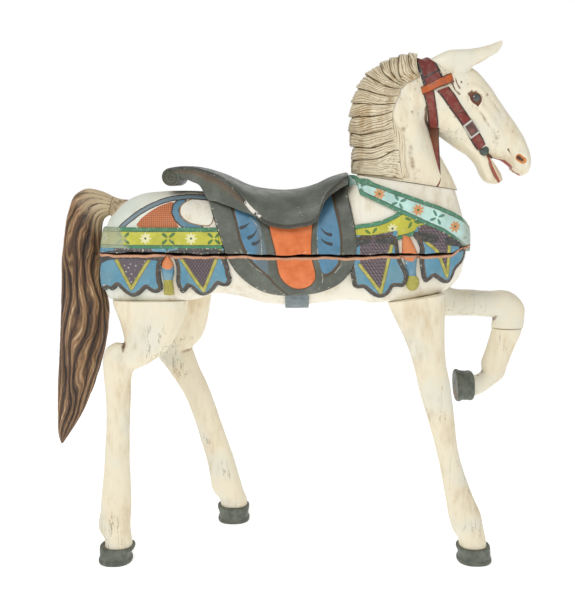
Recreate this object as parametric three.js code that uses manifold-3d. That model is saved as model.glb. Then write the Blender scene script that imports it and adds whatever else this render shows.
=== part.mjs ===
// Carved and painted wooden carousel horse: it stands on three hooves, with its left foreleg raised and bent.
// Millimetres. +X points to the horse's head, +Y to its left side, +Z up.
// The origin is on the ground, below the middle of the horse's outline.
import * as THREE from "three";
import { mergeVertices } from "three/addons/utils/BufferGeometryUtils.js";
import Module from "manifold-3d";

const wasm = await Module();
wasm.setup();

// Driving dimensions.
const jointGap = 0.3; // clear gap between two pieces that touch
const hindSeamZ = 683; // level of the flat joint above both hind legs
const foreSeam = { x: 232, z: 679, slope: 0.144 }; // joint above both forelegs, rising towards the chest
const neckSeam = { x: 162, z: 995, slope: -0.1475 }; // joint below the neck, falling towards the chest
const kneeSeamZ = 576; // joint below the raised knee
const tailSeam = { top: [-475, 941], bottom: [-487, 894] }; // joint between the dock's stump and the tail

// How far each carved trapping stands proud of the wood below it.
const relief = {
  lowerStrap: 6, strap: 8, scallop: 10, bud: 14, breastStrap: 10, skirt: 13, cinch: 9, bridle: 5, buckle: 9,
};
const crack = { z: 802, height: 8, depth: 20, bends: 9, bendTurn: 2.2, wave: 2.5, xFrom: -520, xTo: 470 };
const scroll = { x: -314, z: 992, radius: 22.5, halfLength: 84 };
const hoofRim = { height: 9, out: 2.5, step: 2, bevel: 4 };
const eye = { x: 452, z: 1186, y: 56, radius: 15 };
const eyeSunk = 0.35; // how much of the eye's radius lies below the cheek
const bitDisc = { x: 480, z: 1059, radius: 12, innerY: 34, outerY: 51 };
const seatRebate = 5; // how far the wood below the seat's lip stands back from it
const sliver = 1.25; // the most that a surface moves when thin leftover triangles are merged
const allAcross = 260; // further out to each side than any part of the horse

// Small helpers.

// One cross-section: its two edge points a and b in the side view as [x, z], the y of its middle, its half
// width
// across the horse, and how square it is towards a and towards b (2 is an ellipse).
function section(a, b, y, halfWidth, squareA = 2.3, squareB = squareA) {
  return { a, b, y, halfWidth, squareA, squareB };
}

function squareOff(value, power) {
  return Math.sign(value) * Math.pow(Math.abs(value), 2 / power);
}

function smoothCurve(points) {
  return new THREE.CatmullRomCurve3(points, false, "catmullrom", 0.5);
}

// Turns rings of points, each with the same count, into a closed solid with flat ends.
function ringsToSolid(rings) {
  const sides = rings[0].length;
  const positions = rings.flat().flatMap((point) => [point.x, point.y, point.z]);
  const faces = [];
  for (let ring = 0; ring < rings.length - 1; ring++) {
    for (let side = 0; side < sides; side++) {
      const here = ring * sides + side;
      const next = ring * sides + ((side + 1) % sides);
      faces.push(here, next, next + sides, here, next + sides, here + sides);
    }
  }
  for (const end of [0, rings.length - 1]) {
    const middle = rings[end].reduce((sum, point) => sum.add(point), new THREE.Vector3()).divideScalar(sides);
    const middleIndex = positions.length / 3;
    positions.push(middle.x, middle.y, middle.z);
    for (let side = 0; side < sides; side++) {
      const here = end * sides + side;
      const next = end * sides + ((side + 1) % sides);
      faces.push(...(end === 0 ? [middleIndex, next, here] : [middleIndex, here, next]));
    }
  }
  const geometry = new THREE.BufferGeometry();
  geometry.setAttribute("position", new THREE.Float32BufferAttribute(positions, 3));
  geometry.setIndex(faces);
  return solidOf(geometry);
}

// A closed three.js geometry as a solid, turned face out if it was inside out.
function solidOf(source) {
  const geometry = source.clone();
  geometry.deleteAttribute("normal");
  geometry.deleteAttribute("uv");
  const merged = mergeVertices(geometry, 1e-4);
  const vertProperties = new Float32Array(merged.attributes.position.array);
  const triVerts = new Uint32Array(merged.index.array);
  const corner = (index) => new THREE.Vector3().fromArray(vertProperties, triVerts[index] * 3);
  let volume = 0;
  for (let index = 0; index < triVerts.length; index += 3) {
    volume += corner(index).dot(corner(index + 1).cross(corner(index + 2)));
  }
  if (volume < 0) {
    for (let index = 0; index < triVerts.length; index += 3) {
      [triVerts[index], triVerts[index + 1]] = [triVerts[index + 1], triVerts[index]];
    }
  }
  return new wasm.Manifold(new wasm.Mesh({ numProp: 3, vertProperties, triVerts }));
}

// A solid with one ring of points at each section, thicker by grow all round. Ridges are waves of the given
// height
// that run along it and wander from side to side.
function loft(sections, { sides = 12, grow = 0, ridges = 0, ridgeHeight = 0 } = {}) {
  const edgeA = smoothCurve(sections.map((s) => new THREE.Vector3(s.a[0], s.y, s.a[1])));
  const edgeB = smoothCurve(sections.map((s) => new THREE.Vector3(s.b[0], s.y, s.b[1])));
  const girth = smoothCurve(sections.map((s) => new THREE.Vector3(s.halfWidth, s.squareA, s.squareB)));
  const last = sections.length - 1;
  const rings = [];
  for (let ring = 0; ring <= last; ring++) {
    const a = edgeA.getPoint(ring / last);
    const b = edgeB.getPoint(ring / last);
    const { x: halfWidth, y: squareA, z: squareB } = girth.getPoint(ring / last);
    const middle = a.clone().add(b).multiplyScalar(0.5);
    const half = a.clone().sub(middle);
    half.setLength(half.length() + grow);
    const points = [];
    for (let side = 0; side < sides; side++) {
      const angle = (2 * Math.PI * (side + 0.5)) / sides;
      const ridge = 1 + (ridgeHeight / halfWidth) * Math.cos(ridges * angle + 1.1 * Math.sin(ring * 1.3));
      const square = Math.cos(angle) > 0 ? squareA : squareB;
      const along = ridge * squareOff(Math.cos(angle), square);
      const across = ridge * squareOff(Math.sin(angle), square);
      const point = middle.clone().addScaledVector(half, along);
      point.y += (halfWidth + grow) * across;
      points.push(point);
    }
    rings.push(points);
  }
  return ringsToSolid(rings);
}

// A side-view outline of [x, z] points, cut straight across the horse from yFrom to yTo.
function prism(outline, yFrom = -allAcross, yTo = allAcross) {
  const shape = new THREE.Shape(outline.map(([x, z]) => new THREE.Vector2(x, z)));
  const geometry = new THREE.ExtrudeGeometry(shape, { depth: yTo - yFrom, bevelEnabled: false });
  geometry.rotateX(Math.PI / 2);
  geometry.translate(0, yTo, 0);
  return solidOf(geometry);
}

function box(xFrom, xTo, zFrom, zTo) {
  return prism([[xFrom, zFrom], [xTo, zFrom], [xTo, zTo], [xFrom, zTo]]);
}

// The level of a slanted seam at x.
function seamZ(seam, x) {
  return seam.z + (x - seam.x) * seam.slope;
}

// The wood above a slanted seam up to the given depth, or below it where the depth is negative.
function beyondSeam(seam, xFrom, xTo, depth) {
  return prism([
    [xFrom, seamZ(seam, xFrom)],
    [xTo, seamZ(seam, xTo)],
    [xTo, seamZ(seam, xTo) + depth],
    [xFrom, seamZ(seam, xFrom) + depth],
  ]);
}

function shifted(seam, dz) {
  return { ...seam, z: seam.z + dz };
}

function union(solids) {
  return solids.reduce((whole, solid) => whole.add(solid));
}

// A smooth closed outline through points.
function smoothOutline(points, count = 24) {
  const knots = points.map(([x, z]) => new THREE.Vector3(x, 0, z));
  const curve = new THREE.CatmullRomCurve3(knots, true, "centripetal");
  return curve.getPoints(count).slice(0, -1).map((point) => [point.x, point.z]);
}

// Lock of hair: a tapered strand along a path of [x, y, z] points, flattened against the neck.
function strand(path, halfWidths, height, steps) {
  const sides = 5;
  const curve = smoothCurve(path.map((point) => new THREE.Vector3(...point)));
  const widths = smoothCurve(halfWidths.map((width) => new THREE.Vector3(width, 0, 0)));
  const across = new THREE.Vector3(0, 1, 0);
  const rings = [];
  for (let ring = 0; ring <= steps; ring++) {
    const t = ring / steps;
    const tangent = curve.getTangent(t);
    const side = tangent.clone().cross(across).normalize();
    const out = side.clone().cross(tangent).normalize();
    const halfWidth = widths.getPoint(t).x;
    const halfHeight = height * Math.min(1, halfWidth / widths.getPoint(0.5).x);
    const points = [];
    for (let k = 0; k < sides; k++) {
      const angle = (2 * Math.PI * k) / sides;
      const point = curve.getPoint(t);
      point.addScaledVector(side, halfWidth * Math.cos(angle));
      point.addScaledVector(out, halfHeight * Math.sin(angle));
      points.push(point);
    }
    rings.push(points);
  }
  return ringsToSolid(rings);
}

// The outer skin alone, without slivers: a pocket closed in between two locks is filled with wood.
function outerSkin(solid) {
  return solid.simplify(sliver).decompose().sort((one, other) => other.volume() - one.volume())[0];
}

function mesh(name, solid, color, roughness = 0.6) {
  const { vertProperties, triVerts } = outerSkin(solid).getMesh();
  const geometry = new THREE.BufferGeometry();
  geometry.setAttribute("position", new THREE.Float32BufferAttribute(vertProperties, 3));
  geometry.setIndex(Array.from(triVerts));
  const material = new THREE.MeshStandardMaterial({ color, roughness, metalness: 0 });
  const result = new THREE.Mesh(geometry, material);
  result.name = name;
  return result;
}

// Body: barrel, rump and chest with the saddle and the trappings carved on it.

function trunkSection(x, top, bottom, halfWidth, squareTop = 2.4, squareBottom = 3) {
  return section([x, top], [x, bottom], 0, halfWidth, squareTop, squareBottom);
}

const trunkSections = [
  trunkSection(-490, 842, 694, 92, 2.4, 3.4),
  trunkSection(-483, 878, 684, 104, 2.4, 4),
  trunkSection(-466, 905, 672, 114, 2.3, 4.5),
  trunkSection(-440, 930, 666, 121, 2.3, 5),
  trunkSection(-405, 947, 664, 126, 2.3, 5),
  trunkSection(-350, 955, 664, 130, 2.3, 5),
  trunkSection(-280, 957, 668, 131, 2.3, 4.5),
  trunkSection(-215, 954, 692, 131, 2.3, 3.4),
  trunkSection(-150, 950, 684, 131, 2.3, 2.8),
  trunkSection(-80, 946, 665, 132, 2.3, 2.6),
  trunkSection(0, 946, 660, 132, 2.3, 2.6),
  trunkSection(80, 955, 668, 131, 2.3, 2.8),
  trunkSection(128, 984, 674, 130, 2.5, 3.2),
  trunkSection(160, 1028, 674, 128, 2.8, 4),
  trunkSection(225, 1028, 662, 127, 2.8, 4.5),
  trunkSection(300, 1020, 672, 122, 2.8, 4.5),
  trunkSection(360, 1008, 688, 112, 2.8, 4),
  trunkSection(396, 990, 704, 101, 2.8, 3.4),
  trunkSection(412, 944, 718, 94, 2.8, 3),
  trunkSection(425, 905, 738, 82, 2.6, 2.8),
  trunkSection(434, 878, 768, 64, 2.4, 2.4),
];

function trunk(grow) {
  return loft(trunkSections, { sides: 22, grow });
}

const bothFlanks = [-allAcross, allAcross];
const rightFlank = [-allAcross, 0];
const leftFlank = [0, allAcross];

// What is carved proud of the trunk by height, inside a side-view outline.
function raised(outline, height, [yFrom, yTo] = bothFlanks) {
  return trunk(height).intersect(prism(outline, yFrom, yTo));
}

const rearStrap = [[-510, 813], [-184, 813], [-184, 867], [-510, 867]];
const breastStrap = [
  [133, 960], [257, 901], [333, 866], [411, 819], [450, 800], [450, 872], [404, 896], [306, 943], [256, 960],
  [132, 990],
];
const lowerStrap = [
  [150, 818], [232, 835], [306, 862], [345, 884], [345, 925], [260, 904], [219, 887], [150, 872],
];

const rearScallops = [
  [
    [-510, 800], [-510, 718], [-465, 709], [-447, 723], [-431, 702], [-413, 694], [-395, 702], [-377, 718],
    [-353, 705], [-338, 713], [-334, 751], [-341, 783], [-330, 800],
  ],
  [
    [-308, 800], [-303, 783], [-298, 751], [-300, 713], [-285, 703], [-268, 720], [-251, 700], [-233, 692],
    [-208, 708], [-190, 723], [-172, 720], [-160, 738], [-150, 800],
  ],
];
const rearBud = [
  [-320, 800], [-336, 776], [-325, 757], [-335, 742], [-330, 703], [-307, 703], [-302, 742], [-311, 757],
  [-303, 776], [-312, 800],
];
const frontScallops = [
  [
    [120, 825], [130, 760], [142, 715], [169, 715], [189, 697], [214, 687], [234, 697], [246, 723],
    [266, 723],
    [279, 730], [270, 763], [256, 795], [252, 845], [200, 835],
  ],
  [
    [302, 866], [304, 829], [310, 791], [314, 748], [324, 730], [346, 743], [361, 733], [375, 728],
    [394, 726],
    [402, 748], [411, 781], [417, 800], [460, 800], [460, 826], [380, 848],
  ],
];
const frontBud = [
  [258, 850], [262, 830], [267, 783], [276, 764], [272, 742], [281, 716], [296, 712], [309, 728], [304, 745],
  [296, 764], [299, 783], [301, 822], [290, 858],
];

const plainHems = [
  [[-510, 800], [-510, 718], [-170, 718], [-150, 800]],
  [[128, 820], [142, 718], [394, 724], [411, 781], [460, 800], [460, 826], [380, 848]],
];

const skirtOutline = smoothOutline([
  [-236, 985], [-213, 904], [-184, 808], [-128, 738], [-60, 699], [0, 695], [65, 704], [121, 738], [150, 783],
  [153, 813], [137, 911], [124, 985], [0, 1000], [-120, 1000],
], 28);
const cinchOutline = [[-28, 640], [33, 640], [33, 712], [-28, 712]];

const seatSections = [
  section([-262, 1019], [-262, 800], 0, 100, 3, 2.4),
  section([-225, 1013], [-225, 780], 0, 120, 2.6, 2.4),
  section([-172, 994], [-172, 760], 0, 134, 2.5, 2.4),
  section([-110, 968], [-110, 755], 0, 142, 2.4, 2.4),
  section([-45, 959], [-45, 755], 0, 145, 2.4, 2.4),
  section([20, 965], [20, 760], 0, 144, 2.4, 2.4),
  section([80, 984], [80, 775], 0, 138, 2.4, 2.4),
  section([125, 1002], [125, 800], 0, 126, 2.4, 2.4),
];
const seatOutline = [
  [-258, 1060], [-237, 1006], [-188, 981], [-139, 945], [-102, 909], [-65, 882], [-16, 872], [12, 874],
  [41, 886],
  [58, 923], [83, 963], [102, 981], [128, 992], [128, 1060],
];
const seatBase = [[-258, 925], [128, 925], [128, 1060], [-258, 1060]]; // what the lip of the seat stands on

const cantleSections = [
  section([-312, 1014], [-316, 976], 0, scroll.halfLength, 4),
  section([-288, 1019], [-282, 989], 0, 88, 4),
  section([-260, 1018], [-262, 977], 0, 94, 4),
  section([-232, 1014], [-244, 949], 0, 104, 3.4),
  section([-200, 1003], [-220, 925], 0, 114, 3),
];

function saddle() {
  const roll = new THREE.CylinderGeometry(scroll.radius, scroll.radius, 2 * scroll.halfLength, 14);
  roll.translate(scroll.x, 0, scroll.z);
  return union([
    raised(skirtOutline, relief.skirt),
    loft(seatSections, { sides: 16 }).intersect(prism(seatOutline)),
    loft(seatSections, { sides: 16, grow: -seatRebate }).intersect(prism(seatBase)),
    loft(cantleSections),
    solidOf(roll),
    raised(cinchOutline, relief.cinch),
  ]);
}

// The right flank faced the crowd and has scalloped hangings with buds. The left flank has a plain hem.
function trappings() {
  return union([
    raised(rearStrap, relief.strap),
    raised(lowerStrap, relief.lowerStrap),
    raised(breastStrap, relief.breastStrap),
    ...[...rearScallops, ...frontScallops].map((outline) => raised(outline, relief.scallop, rightFlank)),
    ...[rearBud, frontBud].map((outline) => raised(outline, relief.bud, rightFlank)),
    ...plainHems.map((outline) => raised(outline, relief.scallop, leftFlank)),
  ]);
}

// The open seam along the right flank: a wavy slot that reaches depth below the trunk's surface.
function openSeam() {
  const upper = [];
  const lower = [];
  for (let index = 0; index <= crack.bends; index++) {
    const x = crack.xFrom + ((crack.xTo - crack.xFrom) * index) / crack.bends;
    const level = crack.z + crack.wave * Math.sin(index * crack.bendTurn);
    upper.push([x, level + crack.height / 2]);
    lower.push([x, level - crack.height / 2]);
  }
  return prism([...upper, ...lower.reverse()], ...rightFlank).subtract(trunk(-crack.depth));
}

const dockSections = [
  section([-434, 930], [-452, 868], 0, 34),
  section([-455, 935], [-472, 880], 0, 29),
  section(tailSeam.top, tailSeam.bottom, 0, 25),
];

// The trunk is cut back to the seams that the legs and the neck are glued to.
function body() {
  return trunk(0)
    .add(saddle())
    .add(trappings())
    .subtract(openSeam())
    .subtract(box(-520, -236, 600, hindSeamZ))
    .subtract(beyondSeam(foreSeam, 185, 402, -100))
    .subtract(beyondSeam(neckSeam, 129, 470, 120))
    .add(loft(dockSections));
}

// Tail: a heavy fall of wavy strands, set against the dock.

const tailRoot = [tailSeam.top, tailSeam.bottom].map(([x, z]) => [x - jointGap, z]);
const tailSections = [
  section(...tailRoot, 0, 25, 2),
  section([-506, 955], [-502, 884], 0, 29, 2),
  section([-543, 961], [-509, 864], 0, 34, 2),
  section([-574, 945], [-511, 840], 0, 39, 2),
  section([-594, 903], [-511, 808], 0, 43, 2),
  section([-604, 850], [-510, 768], 0, 46, 2),
  section([-614, 775], [-506, 715], 0, 48, 2),
  section([-621, 680], [-499, 662], 0, 49, 2),
  section([-627, 590], [-503, 590], 0, 47, 2),
  section([-633, 500], [-520, 508], 0, 43, 2),
  section([-639, 415], [-550, 422], 0, 36, 2),
  section([-643, 348], [-584, 352], 0, 26, 2),
  section([-643, 300], [-613, 305], 0, 14, 2),
  section([-638, 274], [-633, 276], 0, 3, 2),
];

function tail() {
  return loft(tailSections, { sides: 16, ridges: 5, ridgeHeight: 3 });
}

// Legs. Each hoof is a band with a rim at the sole, carved in one with its leg.

// Top and sole are [backX, frontX], and topZ is the level of the upper edge.
function hoof(top, topZ, sole, y, halfWidth) {
  const rim = hoofRim;
  const square = 2.1;
  const [topBack, topFront] = top;
  const [soleBack, soleFront] = sole;
  function ring(back, front, z, out) {
    return section([back - out, z], [front + out, z], y, halfWidth + out, square);
  }
  return loft([
    ring(topBack, topFront, topZ + rim.bevel, -rim.bevel),
    ring(topBack, topFront, topZ, 0),
    ring(soleBack, soleFront, rim.height + rim.step, 0),
    ring(soleBack, soleFront, rim.height, rim.out),
    ring(soleBack, soleFront, 0, rim.out),
  ], { sides: 14 });
}

const aboveHindLegs = box(-560, -200, hindSeamZ - jointGap, hindSeamZ + 80);

function hindLegRight() {
  const thigh = loft([
    section([-470, 700], [-272, 700], -84, 45, 2.8),
    section([-466, 672], [-277, 672], -86, 45, 2.7),
    section([-452, 636], [-287, 632], -92, 43, 2.5),
    section([-442, 600], [-304, 594], -98, 39),
    section([-438, 575], [-334, 551], -103, 35),
    section([-446, 560], [-370, 524], -107, 32),
    section([-466, 545], [-408, 506], -109, 29),
  ]);
  const cannon = loft([
    section([-462, 575], [-440, 572], -106, 12, 2),
    section([-482, 563], [-420, 553], -107, 25, 2),
    section([-492, 535], [-410, 522], -109, 31),
    section([-491, 492], [-419, 490], -111, 30),
    section([-487, 429], [-424, 429], -113, 27),
    section([-492, 290], [-429, 290], -121, 27),
    section([-507, 140], [-428, 140], -126, 33),
    section([-512, 88], [-431, 88], -127, 35),
    section([-497, 60], [-428, 58], -128, 33),
    section([-500, 40], [-426, 38], -128, 36),
  ]);
  return thigh.add(cannon).add(hoof([-511, -420], 41, [-512, -430], -128, 42)).subtract(aboveHindLegs);
}

function hindLegLeft() {
  const thigh = loft([
    section([-428, 700], [-226, 700], 84, 45, 2.8),
    section([-426, 672], [-232, 668], 86, 45, 2.7),
    section([-420, 630], [-240, 622], 92, 42, 2.5),
    section([-412, 585], [-251, 577], 98, 38),
    section([-404, 545], [-266, 545], 103, 34),
    section([-392, 505], [-290, 519], 107, 31),
    section([-376, 478], [-296, 496], 109, 28),
  ]);
  const cannon = loft([
    section([-404, 530], [-380, 545], 106, 14, 2),
    section([-402, 512], [-310, 540], 107, 28, 2),
    section([-382, 488], [-285, 505], 108, 31),
    section([-366, 466], [-276, 476], 110, 31),
    section([-322, 396], [-249, 410], 117, 28),
    section([-279, 272], [-208, 284], 128, 27),
    section([-254, 172], [-176, 180], 138, 31),
    section([-245, 122], [-160, 122], 139, 35),
    section([-240, 90], [-151, 88], 141, 35),
    section([-220, 64], [-141, 60], 142, 33),
    section([-216, 42], [-140, 40], 142, 36),
  ]);
  return thigh.add(cannon).add(hoof([-226, -134], 44, [-222, -136], 142, 42)).subtract(aboveHindLegs);
}

function forelegRight() {
  const leg = loft([
    section([226, 700], [378, 730], -80, 44, 2.8),
    section([236, 672], [379, 690], -82, 44, 2.7),
    section([254, 630], [380, 640], -87, 42, 2.5),
    section([274, 590], [380, 598], -91, 38),
    section([290, 551], [381, 556], -95, 34),
    section([303, 508], [386, 510], -99, 31),
    section([315, 455], [397, 458], -102, 31),
    section([341, 370], [409, 370], -107, 28),
    section([362, 298], [418, 298], -112, 26),
    section([377, 230], [434, 238], -116, 26),
    section([389, 168], [459, 172], -120, 30),
    section([399, 112], [481, 122], -123, 34),
    section([408, 82], [489, 84], -125, 35),
    section([424, 58], [496, 56], -126, 33),
    section([427, 40], [498, 38], -126, 36),
  ]);
  return leg.add(hoof([419, 506], 40, [424, 508], -126, 42))
    .subtract(beyondSeam(shifted(foreSeam, -jointGap), 150, 460, 120));
}

function forelegLeftUpper() {
  const forearm = loft([
    section([250, 690], [262, 660], 84, 34, 2.6),
    section([290, 700], [304, 628], 86, 43, 2.6),
    section([350, 712], [356, 613], 90, 44, 2.6),
    section([400, 708], [404, 611], 94, 42, 2.5),
    section([436, 688], [440, 611], 97, 39),
    section([486, 684], [486, 611], 100, 37),
    section([542, 680], [532, 608], 103, 36),
    section([588, 680], [552, 604], 105, 37),
    section([618, 664], [552, 594], 106, 37),
    section([637, 636], [550, 588], 107, 36),
    section([638, 600], [550, 582], 108, 35),
    section([634, 566], [551, 570], 108, 34),
  ]);
  return forearm
    .subtract(beyondSeam(shifted(foreSeam, -jointGap), 150, 420, 120))
    .subtract(box(500, 700, 500, kneeSeamZ + jointGap));
}

function forelegLeftLower() {
  const shank = loft([
    section([552, 590], [635, 590], 108, 34),
    section([550, 566], [632, 564], 108, 33),
    section([540, 530], [621, 535], 108, 30),
    section([530, 497], [608, 500], 108, 28),
    section([523, 474], [597, 468], 108, 28),
    section([526, 456], [587, 438], 108, 30),
    section([522, 446], [557, 411], 108, 31),
    section([510, 440], [524, 387], 108, 32),
    section([490, 440], [492, 378], 108, 34),
  ]);
  const footBand = loft([
    section([498, 446], [500, 374], 108, 36, 2.1),
    section([495, 451], [497, 369], 108, 40, 2.1),
    section([461, 452], [465, 368], 108, 41, 2.1),
    section([459, 455], [463, 365], 108, 43, 2.1),
    section([450, 455], [455, 365], 108, 43, 2.1),
  ], { sides: 14 });
  return shank.add(footBand).subtract(box(480, 700, kneeSeamZ, 640));
}

// Head and neck: skull, open jaws, ears, mane and bridle in one.

const neckSections = [
  section([150, 960], [426, 925], 0, 96, 3),
  section([160, 1000], [416, 962], 0, 92, 2.8),
  section([166, 1035], [391, 1014], 0, 80, 2.5),
  section([166, 1075], [364, 1060], 0, 71),
  section([164, 1115], [344, 1100], 0, 66),
  section([166, 1155], [338, 1130], 0, 62),
  section([182, 1200], [352, 1150], 0, 59),
  section([216, 1242], [378, 1170], 0, 56),
  section([262, 1272], [396, 1200], 0, 50),
  section([306, 1288], [410, 1224], 0, 40),
];

const skullSections = [
  section([300, 1276], [300, 1140], 0, 44),
  section([345, 1290], [346, 1113], 0, 58),
  section([400, 1284], [390, 1084], 0, 64),
  section([452, 1262], [424, 1061], 0, 63, 2.5),
  section([487, 1231], [454, 1045], 0, 57, 2.5),
  section([519, 1188], [484, 1049], 0, 49, 2.4),
  section([545, 1153], [508, 1042], 0, 43),
  section([568, 1123], [530, 1034], 0, 40),
  section([588, 1090], [551, 1020], 0, 39),
  section([602, 1058], [568, 1004], 0, 38),
  section([606, 1030], [582, 995], 0, 33),
  section([602, 1010], [592, 997], 0, 20),
];

const jawSections = [
  section([440, 1100], [424, 1064], 0, 46),
  section([477, 1064], [456, 1036], 0, 37),
  section([497, 1046], [470, 1016], 0, 32),
  section([515, 1026], [481, 992], 0, 29),
  section([530, 1004], [498, 977], 0, 25),
  section([538, 984], [520, 974], 0, 16),
];

const earSections = [
  section([346, 1290], [420, 1236], 33, 24),
  section([384, 1309], [442, 1260], 34, 25),
  section([420, 1309], [465, 1273], 36, 22),
  section([446, 1311], [484, 1288], 37, 18),
  section([472, 1316], [503, 1301], 38, 13),
  section([496, 1324], [518, 1313], 39, 8),
  section([513, 1330], [524, 1322], 39, 4),
];

const bridleStraps = {
  crown: [[298, 1310], [303, 1256], [317, 1220], [361, 1242], [340, 1275], [332, 1310]],
  brow: [[310, 1216], [391, 1247], [387, 1221], [318, 1197]],
  throat: [[318, 1196], [341, 1202], [349, 1158], [363, 1090], [338, 1090], [327, 1158]],
  cheek: [
    [351, 1206], [386, 1218], [409, 1182], [435, 1151], [461, 1109], [484, 1072], [462, 1053], [437, 1084],
    [411, 1121], [385, 1155],
  ],
};
const buckle = [[421, 1110], [437, 1092], [463, 1104], [447, 1124]];

// The locks from the poll down to the withers: where each leaves the neck and where its tip ends on the
// crest.
const maneLocks = [
  { root: [306, 1250], tip: [296, 1286] },
  { root: [280, 1238], tip: [270, 1282] },
  { root: [268, 1222], tip: [243, 1272] },
  { root: [256, 1206], tip: [205, 1259] },
  { root: [246, 1190], tip: [178, 1233] },
  { root: [240, 1166], tip: [160, 1198] },
  { root: [240, 1140], tip: [153, 1159] },
  { root: [244, 1112], tip: [151, 1120] },
  { root: [250, 1084], tip: [154, 1084] },
  { root: [252, 1056], tip: [158, 1052] },
  { root: [258, 1026], tip: [162, 1018] },
];

const lockWidths = [6, 14, 19, 19, 13]; // half width from the root to the tip
const lockHeight = 15;

// The right side has every lock. The left side, which is carved more plainly, has half as many, and broader.
const maneCarving = {
  right: { side: -1, every: 1, broader: 1, steps: 4 },
  left: { side: 1, every: 2, broader: 1.6, steps: 3 },
};

function maneSide({ side, every, broader, steps }) {
  return maneLocks.filter((lock, index) => index % every === 0).map(({ root, tip }, index) => {
    const low = (index * every) / (maneLocks.length - 1); // 0 at the poll, 1 at the withers
    const neckSide = 50 + 26 * low;
    const sag = -16 + 8 * low;
    const middle = [(root[0] + tip[0]) / 2, (root[1] + tip[1]) / 2 + sag];
    const path = [
      [root[0] + 8, side * (neckSide - 8), root[1] + 4],
      [root[0] - 12, side * (neckSide + 2), root[1] - 3],
      [middle[0], side * (neckSide - 2), middle[1]],
      [tip[0] + 14, side * (neckSide * 0.42), tip[1] - 2],
      [tip[0] + 2, side * 8, tip[1] + 2],
    ];
    return strand(path, lockWidths.map((width) => width * broader), lockHeight, steps);
  });
}

function bridled(grow, outline) {
  return loft(skullSections, { sides: 14, grow }).add(loft(neckSections, { sides: 14, grow }))
    .intersect(prism(outline));
}

function headAndNeck() {
  const bothSides = [-1, 1];
  const discs = bothSides.map((side) => {
    const length = bitDisc.outerY - bitDisc.innerY;
    const disc = new THREE.CylinderGeometry(bitDisc.radius, bitDisc.radius, length, 10);
    disc.translate(bitDisc.x, side * (bitDisc.innerY + length / 2), bitDisc.z);
    return solidOf(disc);
  });
  const eyes = bothSides.map((side) => {
    const ball = new THREE.SphereGeometry(eye.radius, 10, 6);
    ball.translate(eye.x, side * (eye.y - eye.radius * eyeSunk), eye.z);
    return solidOf(ball);
  });
  const ears = bothSides.map((side) => loft(earSections.map((s) => ({ ...s, y: s.y * side })), { sides: 8 }));
  return union([
    loft(neckSections, { sides: 14 }),
    loft(skullSections, { sides: 14 }),
    loft(jawSections, { sides: 10 }),
    ...ears,
    ...eyes,
    ...discs,
    ...Object.values(bridleStraps).map((outline) => bridled(relief.bridle, outline)),
    bridled(relief.buckle, buckle),
    ...maneSide(maneCarving.right),
    ...maneSide(maneCarving.left),
  ]).subtract(beyondSeam(shifted(neckSeam, jointGap), 100, 480, -120));
}

// The whole horse.

const cream = "#e8e2ce";
const horse = new THREE.Group();
horse.add(
  mesh("body", body(), "#7d8f86"),
  mesh("head_and_neck", headAndNeck(), cream),
  mesh("tail", tail(), "#6b4a2c", 0.65),
  mesh("hind_leg_right", hindLegRight(), cream),
  mesh("hind_leg_left", hindLegLeft(), cream),
  mesh("foreleg_right", forelegRight(), cream),
  mesh("foreleg_left_upper", forelegLeftUpper(), cream),
  mesh("foreleg_left_lower", forelegLeftLower(), cream),
);

export default horse;
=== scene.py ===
import math

import bmesh
import bpy
import numpy as np
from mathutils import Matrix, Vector
from mathutils.bvhtree import BVHTree
from mathutils.geometry import delaunay_2d_cdt


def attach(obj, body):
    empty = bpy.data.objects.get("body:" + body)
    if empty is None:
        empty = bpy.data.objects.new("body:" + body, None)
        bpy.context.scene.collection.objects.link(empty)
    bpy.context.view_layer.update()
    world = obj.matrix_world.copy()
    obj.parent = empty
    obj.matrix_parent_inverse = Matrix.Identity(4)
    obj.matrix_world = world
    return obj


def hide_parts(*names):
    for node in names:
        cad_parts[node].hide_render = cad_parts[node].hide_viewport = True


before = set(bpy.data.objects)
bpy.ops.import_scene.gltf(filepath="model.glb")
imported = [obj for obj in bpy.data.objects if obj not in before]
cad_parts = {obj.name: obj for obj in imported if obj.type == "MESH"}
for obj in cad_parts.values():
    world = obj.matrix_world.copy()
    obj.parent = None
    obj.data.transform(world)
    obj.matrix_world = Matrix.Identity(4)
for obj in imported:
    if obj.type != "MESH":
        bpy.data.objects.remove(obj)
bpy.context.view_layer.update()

# An old carved carousel horse. Tables are in millimetres, in the same frame as the solids:
# +X to the horse's head, +Y to its left side, +Z up. Meshes are made in metres.
mm = 0.001

# camera, floor and light

studio = {
    "camera": (-0.022, -2.2, 0.982),
    "pitch": 8.1,                     # degrees that the camera looks down
    "lens": 50.16,
    "floorColour": (0.93, 0.93, 0.92),
    "worldStrength": 0.5,
    "floorGlow": 0.55,
}


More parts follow.
